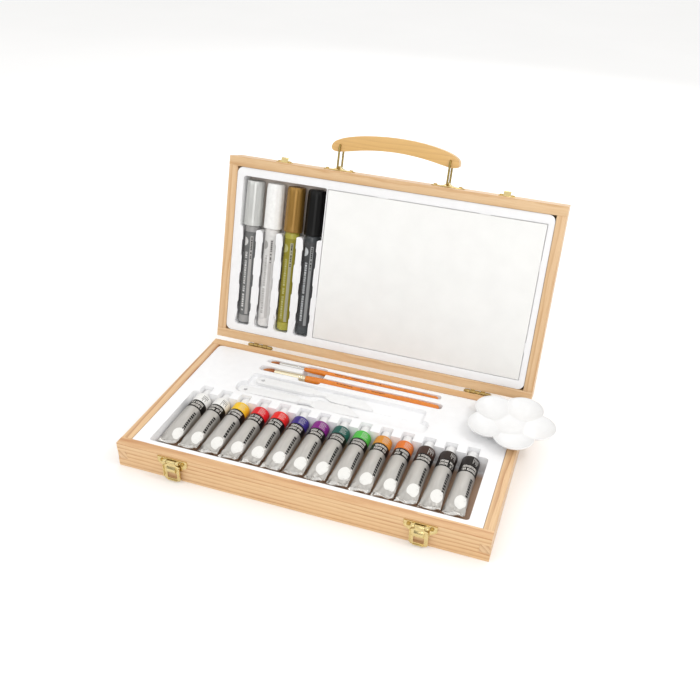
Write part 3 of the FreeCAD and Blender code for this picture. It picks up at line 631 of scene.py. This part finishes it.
def crumple(seed):
    r = random.Random(seed)
    waves = [(r.uniform(1.4, 3.6), r.uniform(0, 6.28), r.uniform(0.12, 0.34),
              r.uniform(-0.5, 0.5)) for _ in range(5)]
    dents = [(r.uniform(-1.1, 1.1), r.uniform(-64, -42), r.uniform(1.6, 3.6),
              r.uniform(0.4, 1.1)) for _ in range(9)]
    dents += [(r.uniform(-0.35, 0.35), r.uniform(-66.5, -63.5), r.uniform(1.0, 1.8),
               r.uniform(0.5, 0.9)) for _ in range(3)]
    dents += [(r.uniform(-0.9, 0.95), r.uniform(-66.0, -58.5), r.uniform(1.8, 3.0),
               r.uniform(0.7, 1.25)) for _ in range(4)]
    def f(t, y):
        """Inward push in mm at angle t (0 = top) and length y."""
        if y > -34:
            k = 0.0
        else:
            k = min(1.0, (-34 - y) / 20.0)
        if y < -65.2:
            k *= max(0.0, (y + 67.6) / 2.4)
        d = sum(a * math.sin(w * t * 1.7 + p + y * s * 0.55) for w, p, a, s in waves) * 0.7
        for ct, cy, rad, dep in dents:
            q = ((t - ct) * 8.0) ** 2 + (y - cy) ** 2
            d += dep * math.exp(-q / (rad * rad))
        q = math.hypot((t - STICK_T) * 8.6, y - STICK_Y) / 6.6
        k *= min(1.0, max(0.0, (q - 0.95) / 0.35))
        return max(-0.05, d * k)
    return f


def foot_turn(dx, y, ph=0.0):
    """The flattened foot: out of level, right corner curled up, broad soft folds."""
    k = min(1.0, max(0.0, (-46.0 - y) / 19.0))
    k = k * k * (3 - 2 * k)
    c = max(0.0, (dx - 5.8) / 3.8)
    e = min(1.0, max(0.0, (-56.0 - y) / 7.0))
    e = e * e * (3 - 2 * e) * min(1.0, max(0.0, (9.9 - abs(dx)) / 2.5 + 0.35))
    fold = (0.85 * math.sin(0.42 * dx + 0.62 * (y + 62.0) + ph)
            + 0.42 * math.sin(0.95 * dx - 0.45 * (y + 62.0) + 2.1 * ph + 1.0))
    return k * (0.085 * dx + 1.25 * c * c) + e * fold


def tube_point(cx, t, y, dent, lift=0.0):
    a, b, z = sec_at(y)
    ph = cx * 0.37
    ca, sa = math.sin(t), math.cos(t)
    d = dent(t, y)
    ra, rb = a - d * 0.35 + lift, max(0.45, b - d) + lift
    return (cx + ra * ca, y, z + rb * sa + foot_turn(ra * ca, y, ph))


def patch(cx, dent, t0, t1, y0, y1, lift=0.05, nt=6, ny=6, mask=None):
    """A thin decal following the tube: its outer face only."""
    vs, fs = [], []
    for j in range(ny + 1):
        for i in range(nt + 1):
            t = t0 + (t1 - t0) * i / nt
            y = y0 + (y1 - y0) * j / ny
            vs.append(tube_point(cx, t, y, dent, lift))
    for j in range(ny):
        for i in range(nt):
            a = j * (nt + 1) + i
            fs.append((a, a + 1, a + nt + 2, a + nt + 1))
    return vs, fs


def round_patch(cx, dent, tc, yc, rad, lift=0.07, rings=4, n=28):
    vs, fs = [tube_point(cx, tc, yc, dent, lift)], []
    for k in range(1, rings + 1):
        for i in range(n):
            w = 2 * math.pi * i / n
            r = rad * k / rings
            t = tc + r * math.cos(w) / 8.9
            y = yc + 1.12 * r * math.sin(w)
            vs.append(tube_point(cx, t, y, dent, lift))
    for i in range(n):
        fs.append((0, 1 + i, 1 + (i + 1) % n))
    for k in range(rings - 1):
        for i in range(n):
            a, b = 1 + k * n + i, 1 + k * n + (i + 1) % n
            fs.append((a, a + n, b + n, b))
    # skirt down to the surface
    base = len(vs)
    for i in range(n):
        w = 2 * math.pi * i / n
        vs.append(tube_point(cx, tc + rad * math.cos(w) / 8.9, yc + 1.12 * rad * math.sin(w), dent, -0.05))
    for i in range(n):
        a, b = 1 + (rings - 1) * n + i, 1 + (rings - 1) * n + (i + 1) % n
        fs.append((a, base + i, base + (i + 1) % n, b))
    return vs, fs


BAND_HEX = ["#ECEBE8", "#ECEBE8", "#F0C428", "#DA1A24", "#E4201C", "#36267F",
            "#80187F", "#1A5850", "#4DB845", "#D28A2A", "#DC7428", "#3E251A",
            "#241914", "#1A1412"]
STICK_SHIFT = [0.20, 0.13, 0.05, 0.0, 0.0, 0.0, 0.0, 0.02, 0.05, 0.0, 0.17, 0.16, 0.22, 0.27]


def build_tube(i):
    cx = TUBE_X[i]
    dent = crumple(100 + i)
    n = 56
    ys = [SHOULDER_Y, 0.3, 0.0, -5.0, -10.6, -10.61, -15.8, -21.0, -21.01, -25, -30]
    ys += [-30 - k * 1.6 for k in range(1, 23)] + [-66.2, -66.3, -67.3, -67.35, -68.2, -68.9, -69.15]
    ys = sorted(set(y for y in ys if y >= -69.2), reverse=True)
    vs, fs, idx = [], [], []
    for y in ys:
        shrink = 0.0
        if y > 0.2:
            shrink = 0.35 * (y - 0.2) / 0.3
        for k in range(n):
            t = 2 * math.pi * k / n
            if y < -66.25:
                a, b, z = 9.75, 0.75, 17.0
                if y < -69.0:
                    a, b = 9.6, 0.5
                # flat folded crimp: superellipse section
                ct, st = math.sin(t), math.cos(t)
                p = 0.35
                dx = a * math.copysign(abs(ct) ** p, ct)
                wave = 0.22 * math.sin(dx * 0.9 + i * 1.7) + 0.12 * math.sin(dx * 2.3 + i)
                vs.append((cx + dx, y + 0.25 * math.sin(dx * 0.5 + i),
                           z + b * math.copysign(abs(st) ** p, st)
                           + foot_turn(dx, y, cx * 0.37) + wave * 0.5))
            else:
                vs.append(tube_point(cx, t, y, dent, -shrink))
    for j in range(len(ys) - 1):
        ym = (ys[j] + ys[j + 1]) / 2
        m = 1 if ym > -10.6 else 2 if ym > -21.0 else 0 if ym > -66.25 else 3
        for k in range(n):
            q = (k + 1) % n
            fs.append((j * n + k, j * n + q, (j + 1) * n + q, (j + 1) * n + k))
            idx.append(m)
    fs.append(tuple((len(ys) - 1) * n + k for k in range(n)))
    idx.append(3)
    # shoulder and threaded neck
    prof = [(SHOULDER_Y, TUBE_R - 0.35), (1.0, 7.4), (1.6, 5.8), (2.1, 4.2), (2.2, 3.3)]
    prof += [(2.6 + 0.55 * k, 3.1 + (0.16 if k % 2 else -0.08)) for k in range(11)]
    sv, sf = lathe(prof, 40)
    sv = [(x + cx, y, z + TUBE_Z) for x, y, z in sv]
    parts = [(vs, fs, idx), (sv, sf, 1 if i else 1)]
    # generic print: fine lines on the band, blocks on the black band, bars on the side
    line_m = 5 if i < 2 else 6
    for k in range(5):
        if 2 <= i <= 10:
            q = -2.0 - k * 1.6
            ln = (0.80, 0.66, 0.78, 0.60, 0.72)[(k + i) % 5]
            v, f = patch(cx, dent, 0.10, 0.10 + ln, q, q - 0.42, 0.03, 8, 1)
        else:
            t0 = 0.34 + k * 0.15
            ln = (6.5, 8.0, 5.0, 7.0, 4.2)[(k + i) % 5]
            v, f = patch(cx, dent, t0, t0 + 0.05, -1.6, -1.6 - ln, 0.03, 2, 3)
        parts.append((v, f, line_m))
    r = random.Random(50 + i)
    t = -0.55
    while t < 1.0:
        w = r.uniform(0.06, 0.11)
        for y0, h in ((-12.5, 2.9), (-16.4, 2.9)):
            if r.random() < 0.9:
                y1 = y0 - r.uniform(0, 0.3)
                hh = h * r.uniform(0.8, 1.0)
                v, f = patch(cx, dent, t, t + w, y1, y1 - hh, 0.03, 2, 2)
                parts.append((v, f, 7))
                if r.random() < 0.6:
                    v, f = patch(cx, dent, t + w * 0.35, t + w * 0.65, y1 - hh * 0.3,
                                 y1 - hh * 0.75, 0.045, 1, 1)
                    parts.append((v, f, 2))
        t += w + r.uniform(0.035, 0.055)
    y = -27.0
    while y > -49.0:
        w = r.uniform(1.7, 2.8)
        v, f = patch(cx, dent, 0.68, 0.68 + r.uniform(0.32, 0.38), y, y - w, 0.03, 3, 3)
        parts.append((v, f, 5))
        y -= w + r.uniform(0.5, 0.8)
    v, f = round_patch(cx, dent, STICK_T + 0.22 - 0.021 * i + STICK_SHIFT[i] + r.uniform(-0.02, 0.02),
                       STICK_Y - 0.7 + 0.1 * i + r.uniform(-0.3, 0.3), 5.8, 0.12, 5, 36)
    parts.append((v, f, 4))
    v, f = patch(cx, dent, STICK_T + 0.42, STICK_T + 0.62, STICK_Y + 2.6, STICK_Y + 2.2, 0.15, 2, 1)
    parts.append((v, f, 6))
    v, f = round_patch(cx, dent, 0.86, -50.3, 0.75, 0.05, 2, 12)
    parts.append((v, f, 4))
    V, F, I = join(parts)
    me = mesh("paint_tube_%02d_body" % (i + 1), V, F, idx=I, loc=lambda p: (p.x - cx, p.y, p.z), recalc=False)
    bm = bmesh.new()
    bm.from_mesh(me)
    bmesh.ops.recalc_face_normals(bm, faces=[f for f in bm.faces if f.material_index in (0, 1, 2, 3)])
    for f in bm.faces:
        if f.material_index > 3 and f.normal.z < 0:
            f.normal_flip()
    bm.to_mesh(me)
    bm.free()
    band = plastic("band_%02d" % (i + 1), BAND_HEX[i], 0.40, 0.4, 0.0, 0.0, 0.05, 0.5, None, 1.34)
    o = add("paint_tube_%02d_body" % (i + 1), me, "paint_tube_%02d" % (i + 1),
            [TUBE, band, BAND_BLACK, TUBE_FOOT, STICKER, INK, INK_PALE, INK_DIM],
            ["paint_tube_%02d" % (i + 1)])
    finish_mesh(o, 42)
    # ribbed screw cap
    y0, n = SHOULDER_Y + 1.9, 96
    vs, fs = [], []
    prof = [(0.0, 5.25, 1), (0.25, 5.4, 1), (8.6, 5.15, 1), (9.1, 4.9, 0.5),
            (9.6, 4.3, 0), (9.75, 3.6, 0), (9.6, 3.1, 0), (9.6, 0.01, 0)]
    for a, rr, rib in prof:
        for k in range(n):
            t = 2 * math.pi * k / n
            q = rr - 0.22 * rib * (0.5 - 0.5 * math.cos(t * 24)) ** 2
            vs.append((cx + q * math.sin(t), y0 + a, TUBE_Z + q * math.cos(t)))
    for j in range(len(prof) - 1):
        for k in range(n):
            q = (k + 1) % n
            fs.append((j * n + k, j * n + q, (j + 1) * n + q, (j + 1) * n + k))
    fs.append(tuple(range(n))[::-1])
    me = mesh("paint_tube_%02d_cap" % (i + 1), vs, fs)
    o = add("paint_tube_%02d_cap" % (i + 1), me, "paint_tube_%02d" % (i + 1), [CAP_W])
    finish_mesh(o, 30)


for i in range(14):
    build_tube(i)

# ------------------------------------------------------------------- markers
MARK = {"silver": ("#D0D1CE", "#6C6D6D", 0.5), "white": ("#F2F2F0", "#D9D8D6", 0.0),
        "gold": ("#9A7433", "#8E8526", 0.6), "black": ("#030303", "#434446", 0.0)}


def build_marker(name):
    cap_hex, body_hex, met = MARK[name]
    if met:
        cap_m = metal_paint("cap_" + name, cap_hex, met, 0.36, (0.6, 0.02, 0.6), 0.16, 0.2, 0.15)
    else:
        cap_m = plastic("cap_" + name, cap_hex, 0.34, 0.4, 0.0, 0.0, 0.05, 0.3, None,
                        1.33 if name == "black" else 1.46)
    body_m = plastic("barrel_" + name, body_hex, 0.30, 0.5, 0.12, 0.0, 0.12, 0.15, None, 1.42)
    label = plastic("label_" + name, LABEL[name], 0.5, 0.3, 0.0, 0.0, 0.05, 0.5)
    ink = plastic("print_" + name, PRINT[name], 0.5, 0.3, 0.0, 0.0, 0.05, 0.5)
    foot_m = plastic("foot_" + name, FOOT[name], 0.3, 0.4, 0.3, 0.0, 0.08, 0.3)
    c0, c1 = shut_box("marker_%s_cap" % name)
    b0, b1 = shut_box("marker_%s_body" % name)
    cx, cz = (c0.x + c1.x) / 2, (c0.z + c1.z) / 2
    rc, rb = (c1.x - c0.x) / 2, (b1.x - b0.x) / 2
    a, m, b = c0.y, c1.y, b1.y
    place = OPEN @ Matrix.Translation((cx, 0, cz))
    # cap with shallow flutes and a stepped crown
    n = 120
    prof = [(a + 0.55, 0.01, 0), (a + 0.55, rc - 3.6, 0), (a + 0.2, rc - 2.8, 0),
            (a, rc - 1.9, 0.3), (a + 0.35, rc - 1.1, 0.8), (a + 1.3, rc - 0.6, 1.0),
            (a + 5.0, rc - 0.35, 1.0), (m - 9.0, rc - 0.1, 1.0), (m - 4.2, rc - 0.05, 0.6),
            (m - 3.6, rc, 0.0), (m - 0.5, rc, 0.0), (m, rc - 0.3, 0.0),
            (m, 6.4, 0.0), (m - 8, 6.2, 0.0)]
    vs, fs = [], []
    for y, q0, k in prof:
        for i in range(n):
            t = 2 * math.pi * i / n
            q = q0 - 0.22 * k * (0.5 + 0.5 * math.cos(t * 10)) ** 3
            vs.append((q * math.sin(t), y, q * math.cos(t)))
    for j in range(len(prof) - 1):
        for i in range(n):
            k = (i + 1) % n
            fs.append((j * n + i, j * n + k, (j + 1) * n + k, (j + 1) * n + i))
    me = mesh("marker_%s_cap_v" % name, vs, fs, place)
    o = add("marker_%s_cap_v" % name, me, "marker_" + name, [cap_m],
            ["marker_%s_cap" % name])
    finish_mesh(o, 30)
    # barrel, collar, foot plug
    prof = [(a + 22, 0.01), (a + 22, 3.4), (m - 11, 4.0), (m - 11, 5.7), (m - 0.2, 5.9),
            (m + 0.05, 6.2), (m + 0.5, rb - 0.6), (m + 1.5, rb - 0.12), (m + 2.6, rb),
            (m + 6.4, rb), (m + 6.7, rb - 0.2), (m + 7.3, rb - 0.2), (m + 7.6, rb),
            (b - 9.0, rb), (b - 8.7, rb - 0.25), (b - 8.1, rb - 0.25), (b - 7.8, rb - 0.05),
            (b - 1.6, rb - 0.1), (b - 0.7, rb - 0.35), (b - 0.15, rb - 0.9),
            (b, rb - 1.6), (b, 0.01)]
    sv, sf = lathe(prof, 72)
    ring = [3 if prof[k][0] >= b - 8.2 or prof[k][0] <= m + 2.6 else 0 for k in range(len(prof) - 1)]
    idx = [ring[k] for k in range(len(prof) - 1) for _ in range(72)] + [3, 3]
    parts = [(sv, sf, idx)]

    def wrap(t0, t1, y0, y1, lift, mat, nt=6, ny=2):
        v, f = [], []
        for j in range(ny + 1):
            for i in range(nt + 1):
                t = t0 + (t1 - t0) * i / nt
                y = y0 + (y1 - y0) * j / ny
                q = rb + lift
                v.append((q * math.sin(t), y, q * math.cos(t)))
        for j in range(ny):
            for i in range(nt):
                q = j * (nt + 1) + i
                f.append((q, q + 1, q + nt + 2, q + nt + 1))
        parts.append((v, f, mat))
    # the side turned outwards is -Z in the closed position: t = pi
    out = math.pi
    wrap(out - 0.60, out - 0.20, m + 10.5, b - 9.5, 0.035, 1, 6, 2)
    rr = random.Random(len(name) * 7)
    y = m + 11.8
    while y < m + 34:
        w = rr.uniform(0.8, 1.5)
        wrap(out - 0.50, out - 0.32, y, y + w, 0.06, 4, 3, 1)
        y += w + rr.uniform(0.5, 0.8) + (1.5 if rr.random() < 0.2 else 0)
    y = m + 27.0
    while y < b - 14:
        w = rr.uniform(1.2, 2.1)
        wrap(out + 0.06, out + 0.36, y, y + w, 0.035, 2, 4, 1)
        if rr.random() < 0.5:
            wrap(out + 0.15, out + 0.27, y + w * 0.3, y + w * 0.7, 0.06, 0, 2, 1)
        y += w + rr.uniform(0.5, 0.8) + (1.7 if rr.random() < 0.13 else 0)
    # half-round mark, flat side to the left
    n2, yc, rad = 24, m + 16.5, 4.4
    v, f = [], []
    for k in range(7):
        u = k / 6
        for i in range(n2 + 1):
            w = math.pi * i / n2
            dx = -4.5 + rad * 0.92 * math.sin(w) * u
            y = yc + rad * math.cos(w)
            t = out - math.asin(max(-0.95, min(0.95, dx / rb)))
            v.append(((rb + 0.035) * math.sin(t), y, (rb + 0.035) * math.cos(t)))
    for k in range(6):
        for i in range(n2):
            q = k * (n2 + 1) + i
            f.append((q, q + 1, q + n2 + 2, q + n2 + 1))
    parts.append((v, f, 2))
    V, F, I = join(parts)
    me = mesh("marker_%s_barrel_v" % name, V, F, place, idx=I, recalc=False)
    bm = bmesh.new()
    bm.from_mesh(me)
    shell = [q for q in bm.faces if q.material_index in (0, 3) and q.index < len(sf)]
    bmesh.ops.recalc_face_normals(bm, faces=shell)
    outw = OPEN.to_3x3() @ Vector((0, 0, -1))
    for q in bm.faces:
        if q.index >= len(sf) and q.normal.dot(outw) < 0:
            q.normal_flip()
    bm.to_mesh(me)
    bm.free()
    o = add("marker_%s_barrel_v" % name, me, "marker_" + name, [body_m, label, ink, foot_m, INK],
            ["marker_%s_body" % name])
    finish_mesh(o, 30)


LABEL = {"silver": "#A9A7A5", "white": "#BDBAB8", "gold": "#A3A088", "black": "#8D8F90"}
PRINT = {"silver": "#D2D1CF", "white": "#A5A2A0", "gold": "#B5B178", "black": "#C3C6C8"}
FOOT = {"silver": "#9B9A99", "white": "#DEDCDA", "gold": "#A9A23A", "black": "#3B4043"}
for name in ("silver", "white", "gold", "black"):
    build_marker(name)


# ------------------------------------------------------------------- brushes
def build_brush(tag, y, z, tip, hair, joint, end, rf, rh, rmax, rend, fer):
    place = Matrix.Translation((0, y, z)) @ Matrix.Rotation(-math.pi / 2, 4, "Z")
    # bristle tuft: tapered body with grooves plus loose strands
    n = 40
    L = hair - tip
    prof = [(tip + 0.05, 0.06), (tip + L * 0.10, rh * 0.34), (tip + L * 0.22, rh * 0.62),
            (tip + L * 0.38, rh * 0.88), (tip + L * 0.55, rh), (tip + L * 0.75, rh * 1.0),
            (hair + 0.6, rh * 0.86)]
    vs, fs = [], []
    r = random.Random(len(tag))
    ph = [r.uniform(0, 6.28) for _ in range(4)]
    for a, q in prof:
        for i in range(n):
            t = 2 * math.pi * i / n
            g = q * (1 + 0.05 * math.sin(9 * t + ph[0]) + 0.03 * math.sin(17 * t + ph[1]))
            vs.append((g * math.sin(t), a, g * math.cos(t)))
    for j in range(len(prof) - 1):
        for i in range(n):
            k = (i + 1) % n
            fs.append((j * n + i, j * n + k, (j + 1) * n + k, (j + 1) * n + i))
    fs.append(tuple(range(n)))
    fs.append(tuple((len(prof) - 1) * n + i for i in range(n)))
    parts = [(vs, fs, 0)]
    for s in range(34):
        t = r.uniform(0, 2 * math.pi)
        w = 0.07
        pts = []
        reach = r.uniform(0.02, 0.18) * L
        for k in range(6):
            u = k / 5
            a = hair - u * (L - reach)
            idx = 0
            q = rh * (0.86 + 0.16 * math.sin(math.pi * (1 - u) * 0.6)) * (1 - max(0, u - 0.45) / 0.56) + 0.05
            pts.append((q, a))
        sv = []
        for q, a in pts:
            for dt, dq in ((-w, 0.0), (w, 0.0), (0, 0.09)):
                tt = t + dt / max(0.3, q)
                sv.append(((q + dq) * math.sin(tt), a, (q + dq) * math.cos(tt)))
        sf = []
        for k in range(5):
            for c in range(3):
                d = (c + 1) % 3
                sf.append((k * 3 + c, k * 3 + d, k * 3 + 3 + d, k * 3 + 3 + c))
        sf.append((0, 1, 2))
        sf.append((15, 16, 17))
        parts.append((sv, sf, 0))
    V, F, I = join(parts)
    me = mesh("brush_%s_tuft" % tag, V, F, place,
              loc=lambda p: ((p.y - tip) / L, p.x, p.z))
    o = add("brush_%s_tuft" % tag, me, "brush_" + tag, [HAIR],
            ["brush_%s_bristles" % tag])
    finish_mesh(o, 60)
    prof = [(hair + 0.8, rh * 0.80), (hair, rh * 0.84), (hair - 0.02, rh * 0.95), (hair + 0.4, rh * 0.98)]
    k = 14
    for s in range(1, k):
        u = s / k
        prof.append((hair + 0.4 + (joint - 9.4 - hair) * u, rh * 0.98 + (rf - rh * 0.98) * u))
    prof += [(joint - 9, rf), (joint - 6.9, rf), (joint - 6.6, rf + 0.10), (joint - 6.3, rf - 0.18),
             (joint - 5.9, rf - 0.26), (joint - 5.5, rf - 0.18), (joint - 5.2, rf + 0.10),
             (joint - 4.3, rf + 0.10), (joint - 4.0, rf - 0.18), (joint - 3.6, rf - 0.26),
             (joint - 3.2, rf - 0.18), (joint - 2.9, rf + 0.10), (joint - 2.4, rf + 0.02),
             (joint - 0.3, rf + 0.08), (joint, rf + 0.04), (joint + 0.02, rf - 0.3)]
    sv, sf = lathe(prof, 48)
    me = mesh("brush_%s_ferrule_v" % tag, sv, sf, place, loc=lambda p: (p.y, p.x, p.z))
    o = add("brush_%s_ferrule_v" % tag, me, "brush_" + tag, [fer],
            ["brush_%s_ferrule" % tag])
    finish_mesh(o, 40)
    prof = [(joint - 0.4, rf - 0.35)]
    keys = [(joint, rf - 0.1), (joint + 1.2, rf + 0.2), (joint + 12, rmax), (joint + 24, rmax * 0.97),
            (joint + 50, rmax * 0.78), (end - 24, rend * 1.25), (end - 3, rend),
            (end - 0.8, rend * 0.8), (end, rend * 0.3)]
    for (a0, r0), (a1, r1) in zip(keys, keys[1:]):
        st = max(1, int((a1 - a0) / 4))
        for s in range(st):
            u = s / st
            uu = u * u * (3 - 2 * u) if a1 - a0 > 8 else u
            prof.append((a0 + (a1 - a0) * u, r0 + (r1 - r0) * uu))
    prof.append(keys[-1])
    prof.append((end, 0.01))
    sv, sf = lathe(prof, 48)
    parts = [(sv, sf, 0)]
    # generic print: short bars on the handle
    rr = random.Random(3 if tag == "small" else 4)
    a = joint + 33

    def rad(q):
        for (a0, r0), (a1, r1) in zip(prof, prof[1:]):
            if a0 <= q <= a1:
                return r0 + (r1 - r0) * (q - a0) / max(1e-6, a1 - a0)
        return rend
    while a < joint + 82:
        w = rr.uniform(0.8, 1.9)
        if rr.random() < 0.82:
            v, f = [], []
            for j in range(3):
                for i in range(4):
                    t = 0.10 + 0.42 * i / 3 * (2.35 / rmax)
                    q = a + w * j / 2
                    g = rad(q) + 0.03
                    v.append((g * math.sin(t), q, g * math.cos(t)))
            for j in range(2):
                for i in range(3):
                    q = j * 4 + i
                    f.append((q, q + 1, q + 5, q + 4))
            parts.append((v, f, 1))
        a += w + rr.uniform(0.5, 0.9) + (5 if rr.random() < 0.10 else 0)
    V, F, I = join(parts)
    me = mesh("brush_%s_handle_v" % tag, V, F, place, idx=I, loc=lambda p: (p.y, p.x, p.z), recalc=False)
    bm = bmesh.new()
    bm.from_mesh(me)
    bmesh.ops.recalc_face_normals(bm, faces=[q for q in bm.faces if q.material_index == 0])
    for q in bm.faces:
        if q.material_index and q.normal.z < 0:
            q.normal_flip()
    bm.to_mesh(me)
    bm.free()
    o = add("brush_%s_handle_v" % tag, me, "brush_" + tag, [ORANGE, INK],
            ["brush_%s_handle" % tag])
    finish_mesh(o, 40)


for tag, taper, fer in (("small", 0.57, FERRULE_S), ("large", 0.74, FERRULE)):
    hair_n, fer_n, han_n = ["brush_%s_%s" % (tag, q) for q in ("bristles", "ferrule", "handle")]
    build_brush(tag, mid(han_n).y, mid(han_n).z, lo(hair_n).x, lo(fer_n).x, lo(han_n).x,
                hi(han_n).x, half(fer_n).y - 0.1, half(hair_n).y, half(han_n).y,
                half(han_n).y * taper, fer)

# ------------------------------------------------------- knives and palette
for n in ("palette_knife_front", "palette_knife_rear"):
    soften(n, "moulded_" + n, [WHITE], 0.4, 3, None, 40.0)


def build_palette():
    """Five round bowls blended in the middle, a thin rolled lip and an even wall."""
    lobe_r, lobe_at, turn, wall = 18.6, 22.4, math.radians(-75.0), 1.15
    a0, a1 = lo("flower_palette"), hi("flower_palette")
    ang = [turn + math.radians(72 * k) for k in range(5)]
    cx = a1.x - max(lobe_at * math.cos(q) for q in ang) - lobe_r
    cy = a1.y - max(lobe_at * math.sin(q) for q in ang) - lobe_r
    z0, h = a0.z, a1.z - a0.z
    lobes = [(lobe_at * math.cos(q), lobe_at * math.sin(q)) for q in ang]
    na, nr = 260, 44

    def edge(phi):
        best = 0.0
        for q in ang:
            s = lobe_at * math.sin(phi - q)
            if abs(s) < lobe_r:
                best = max(best, lobe_at * math.cos(phi - q) + math.sqrt(lobe_r ** 2 - s * s))
        return best

    raw = [edge(2 * math.pi * k / na) for k in range(na)]
    rim = [min(raw[k], (raw[k - 2] + raw[k - 1] + raw[k] + raw[(k + 1) % na]
                        + raw[(k + 2) % na]) / 5 + 0.25) for k in range(na)]

    def bowl(x, y):
        q = []
        for lx, ly in lobes:
            t = math.hypot(x - lx, y - ly) / lobe_r
            q.append(1.35 + (h - 1.35) * min(1.2, t) ** 2.3)
        t = math.hypot(x, y) / 20.5
        q.append(1.3 + (h - 1.3) * min(1.5, t) ** 3)
        k = 3.2
        return -math.log(sum(math.exp(-k * v) for v in q)) / k

    vs, fs = [(0, 0, bowl(0, 0))], []
    for j in range(1, nr + 1):
        f = (j / nr) ** 0.8
        for i in range(na):
            phi = 2 * math.pi * i / na
            q = (rim[i] - 0.85) * f
            x, y = q * math.cos(phi), q * math.sin(phi)
            vs.append((x, y, min(h - 0.15, bowl(x, y))))
    lip = [(-0.62, -0.04), (-0.38, 0.0), (-0.16, -0.05), (-0.03, -0.25), (0.0, -0.55),
           (-0.10, -1.0)]
    for dr, dz in lip:
        for i in range(na):
            phi = 2 * math.pi * i / na
            q = rim[i] + dr
            vs.append((q * math.cos(phi), q * math.sin(phi), h + dz))
    rows = nr + len(lip)
    under = [0.992, 0.972, 0.94, 0.90, 0.85, 0.79, 0.72, 0.64, 0.55, 0.45, 0.34, 0.22, 0.10]
    for f in under:
        for i in range(na):
            phi = 2 * math.pi * i / na
            q = (rim[i] - 0.12) * f
            x, y = q * math.cos(phi), q * math.sin(phi)
            vs.append((x, y, max(0.0, min(h - 1.3, bowl(x, y) - wall))))
    rows += len(under)
    vs.append((0, 0, max(0.0, bowl(0, 0) - wall)))
    for i in range(na):
        fs.append((0, 1 + i, 1 + (i + 1) % na))
    for j in range(rows - 1):
        for i in range(na):
            q = 1 + j * na
            fs.append((q + i, q + na + i, q + na + (i + 1) % na, q + (i + 1) % na))
    for i in range(na):
        fs.append((len(vs) - 1, 1 + (rows - 1) * na + (i + 1) % na, 1 + (rows - 1) * na + i))
    me = mesh("moulded_flower_palette", vs, fs, Matrix.Translation((cx, cy, z0)))
    o = add("moulded_flower_palette", me, "palette" if "palette" in frame["bodies"]
            else body_of_node("flower_palette"), [WHITE], ["flower_palette"])
    finish_mesh(o, 50)


build_palette()

# ------------------------------------------------------------ stage and light
floor_m = Mat("floor_pale")
nz = floor_m.noise(floor_m.vmul(floor_m.node("ShaderNodeNewGeometry").outputs["Position"], (3, 3, 3)))
floor_m.set(Base_Color=floor_m.mix(floor_m.maprange(nz, 0.3, 0.7, 0.0, 1.0), (0.965, 0.965, 0.965), (0.985, 0.985, 0.985)),
            Roughness=0.9)
bpy.ops.mesh.primitive_plane_add(size=14, location=(0, 2, 0))
floor = bpy.context.object
floor.name = "floor"
floor.data.materials.append(floor_m.m)

scene = bpy.context.scene
world = bpy.data.worlds.new("studio")
scene.world = world
world.use_nodes = True
wt = world.node_tree
bg = wt.nodes["Background"]
tc = wt.nodes.new("ShaderNodeTexCoord")
sp = wt.nodes.new("ShaderNodeSeparateXYZ")
rp = wt.nodes.new("ShaderNodeValToRGB")
wt.links.new(tc.outputs["Generated"], sp.inputs[0])
wt.links.new(sp.outputs["Z"], rp.inputs[0])
wt.links.new(rp.outputs[0], bg.inputs[0])
el = rp.color_ramp.elements
el[0].position, el[0].color = 0.10, (0.16, 0.155, 0.15, 1)
el[1].position, el[1].color = 0.42, (1.0, 0.995, 0.985, 1)
bg.inputs[1].default_value = 1.0


def area(name, loc, target, size, power, colour=(1, 1, 1), size_y=None):
    d = bpy.data.lights.new(name, "AREA")
    d.energy = power
    d.color = colour
    d.shape = "RECTANGLE" if size_y else "SQUARE"
    d.size = size
    if size_y:
        d.size_y = size_y
    o = bpy.data.objects.new(name, d)
    scene.collection.objects.link(o)
    o.location = loc
    o.rotation_euler = (Vector(target) - Vector(loc)).to_track_quat("-Z", "Y").to_euler()
    return o


area("key", (1.25, 0.0, 1.6), (0.05, 0, 0.03), 0.26, 5.6)
area("front", (0.35, -1.5, 0.75), (0, 0, 0.1), 0.9, 5.0)
area("left", (-0.9, -0.9, 1.0), (0, 0, 0.05), 0.9, 1.4)
area("behind", (0.0, 1.1, 0.7), (0, 0.15, 0.0), 1.0, 3.9)

# -------------------------------------------------------------------- camera
az, el, roll = math.radians(16.85), math.radians(33.33), math.radians(2.51)
back = Vector((math.sin(az) * math.cos(el), -math.cos(az) * math.cos(el), math.sin(el)))
fwd = -back
right0 = fwd.cross(Vector((0, 0, 1))).normalized()
up0 = right0.cross(fwd)
right = right0 * math.cos(roll) + up0 * math.sin(roll)
up = -right0 * math.sin(roll) + up0 * math.cos(roll)
cam_d = bpy.data.cameras.new("camera")
cam = bpy.data.objects.new("camera", cam_d)
scene.collection.objects.link(cam)
cam.matrix_world = Matrix(((right.x, up.x, back.x, 0.1998), (right.y, up.y, back.y, -0.5461),
                           (right.z, up.z, back.z, 0.4740), (0, 0, 0, 1)))
cam_d.sensor_width = 36
cam_d.lens = 41.46
cam_d.shift_x = -0.0308
cam_d.shift_y = 0.0183
cam_d.clip_start = 0.01
cam_d.clip_end = 50
scene.camera = cam
scene.view_settings.view_transform = "Standard"
scene.view_settings.exposure = 0.0
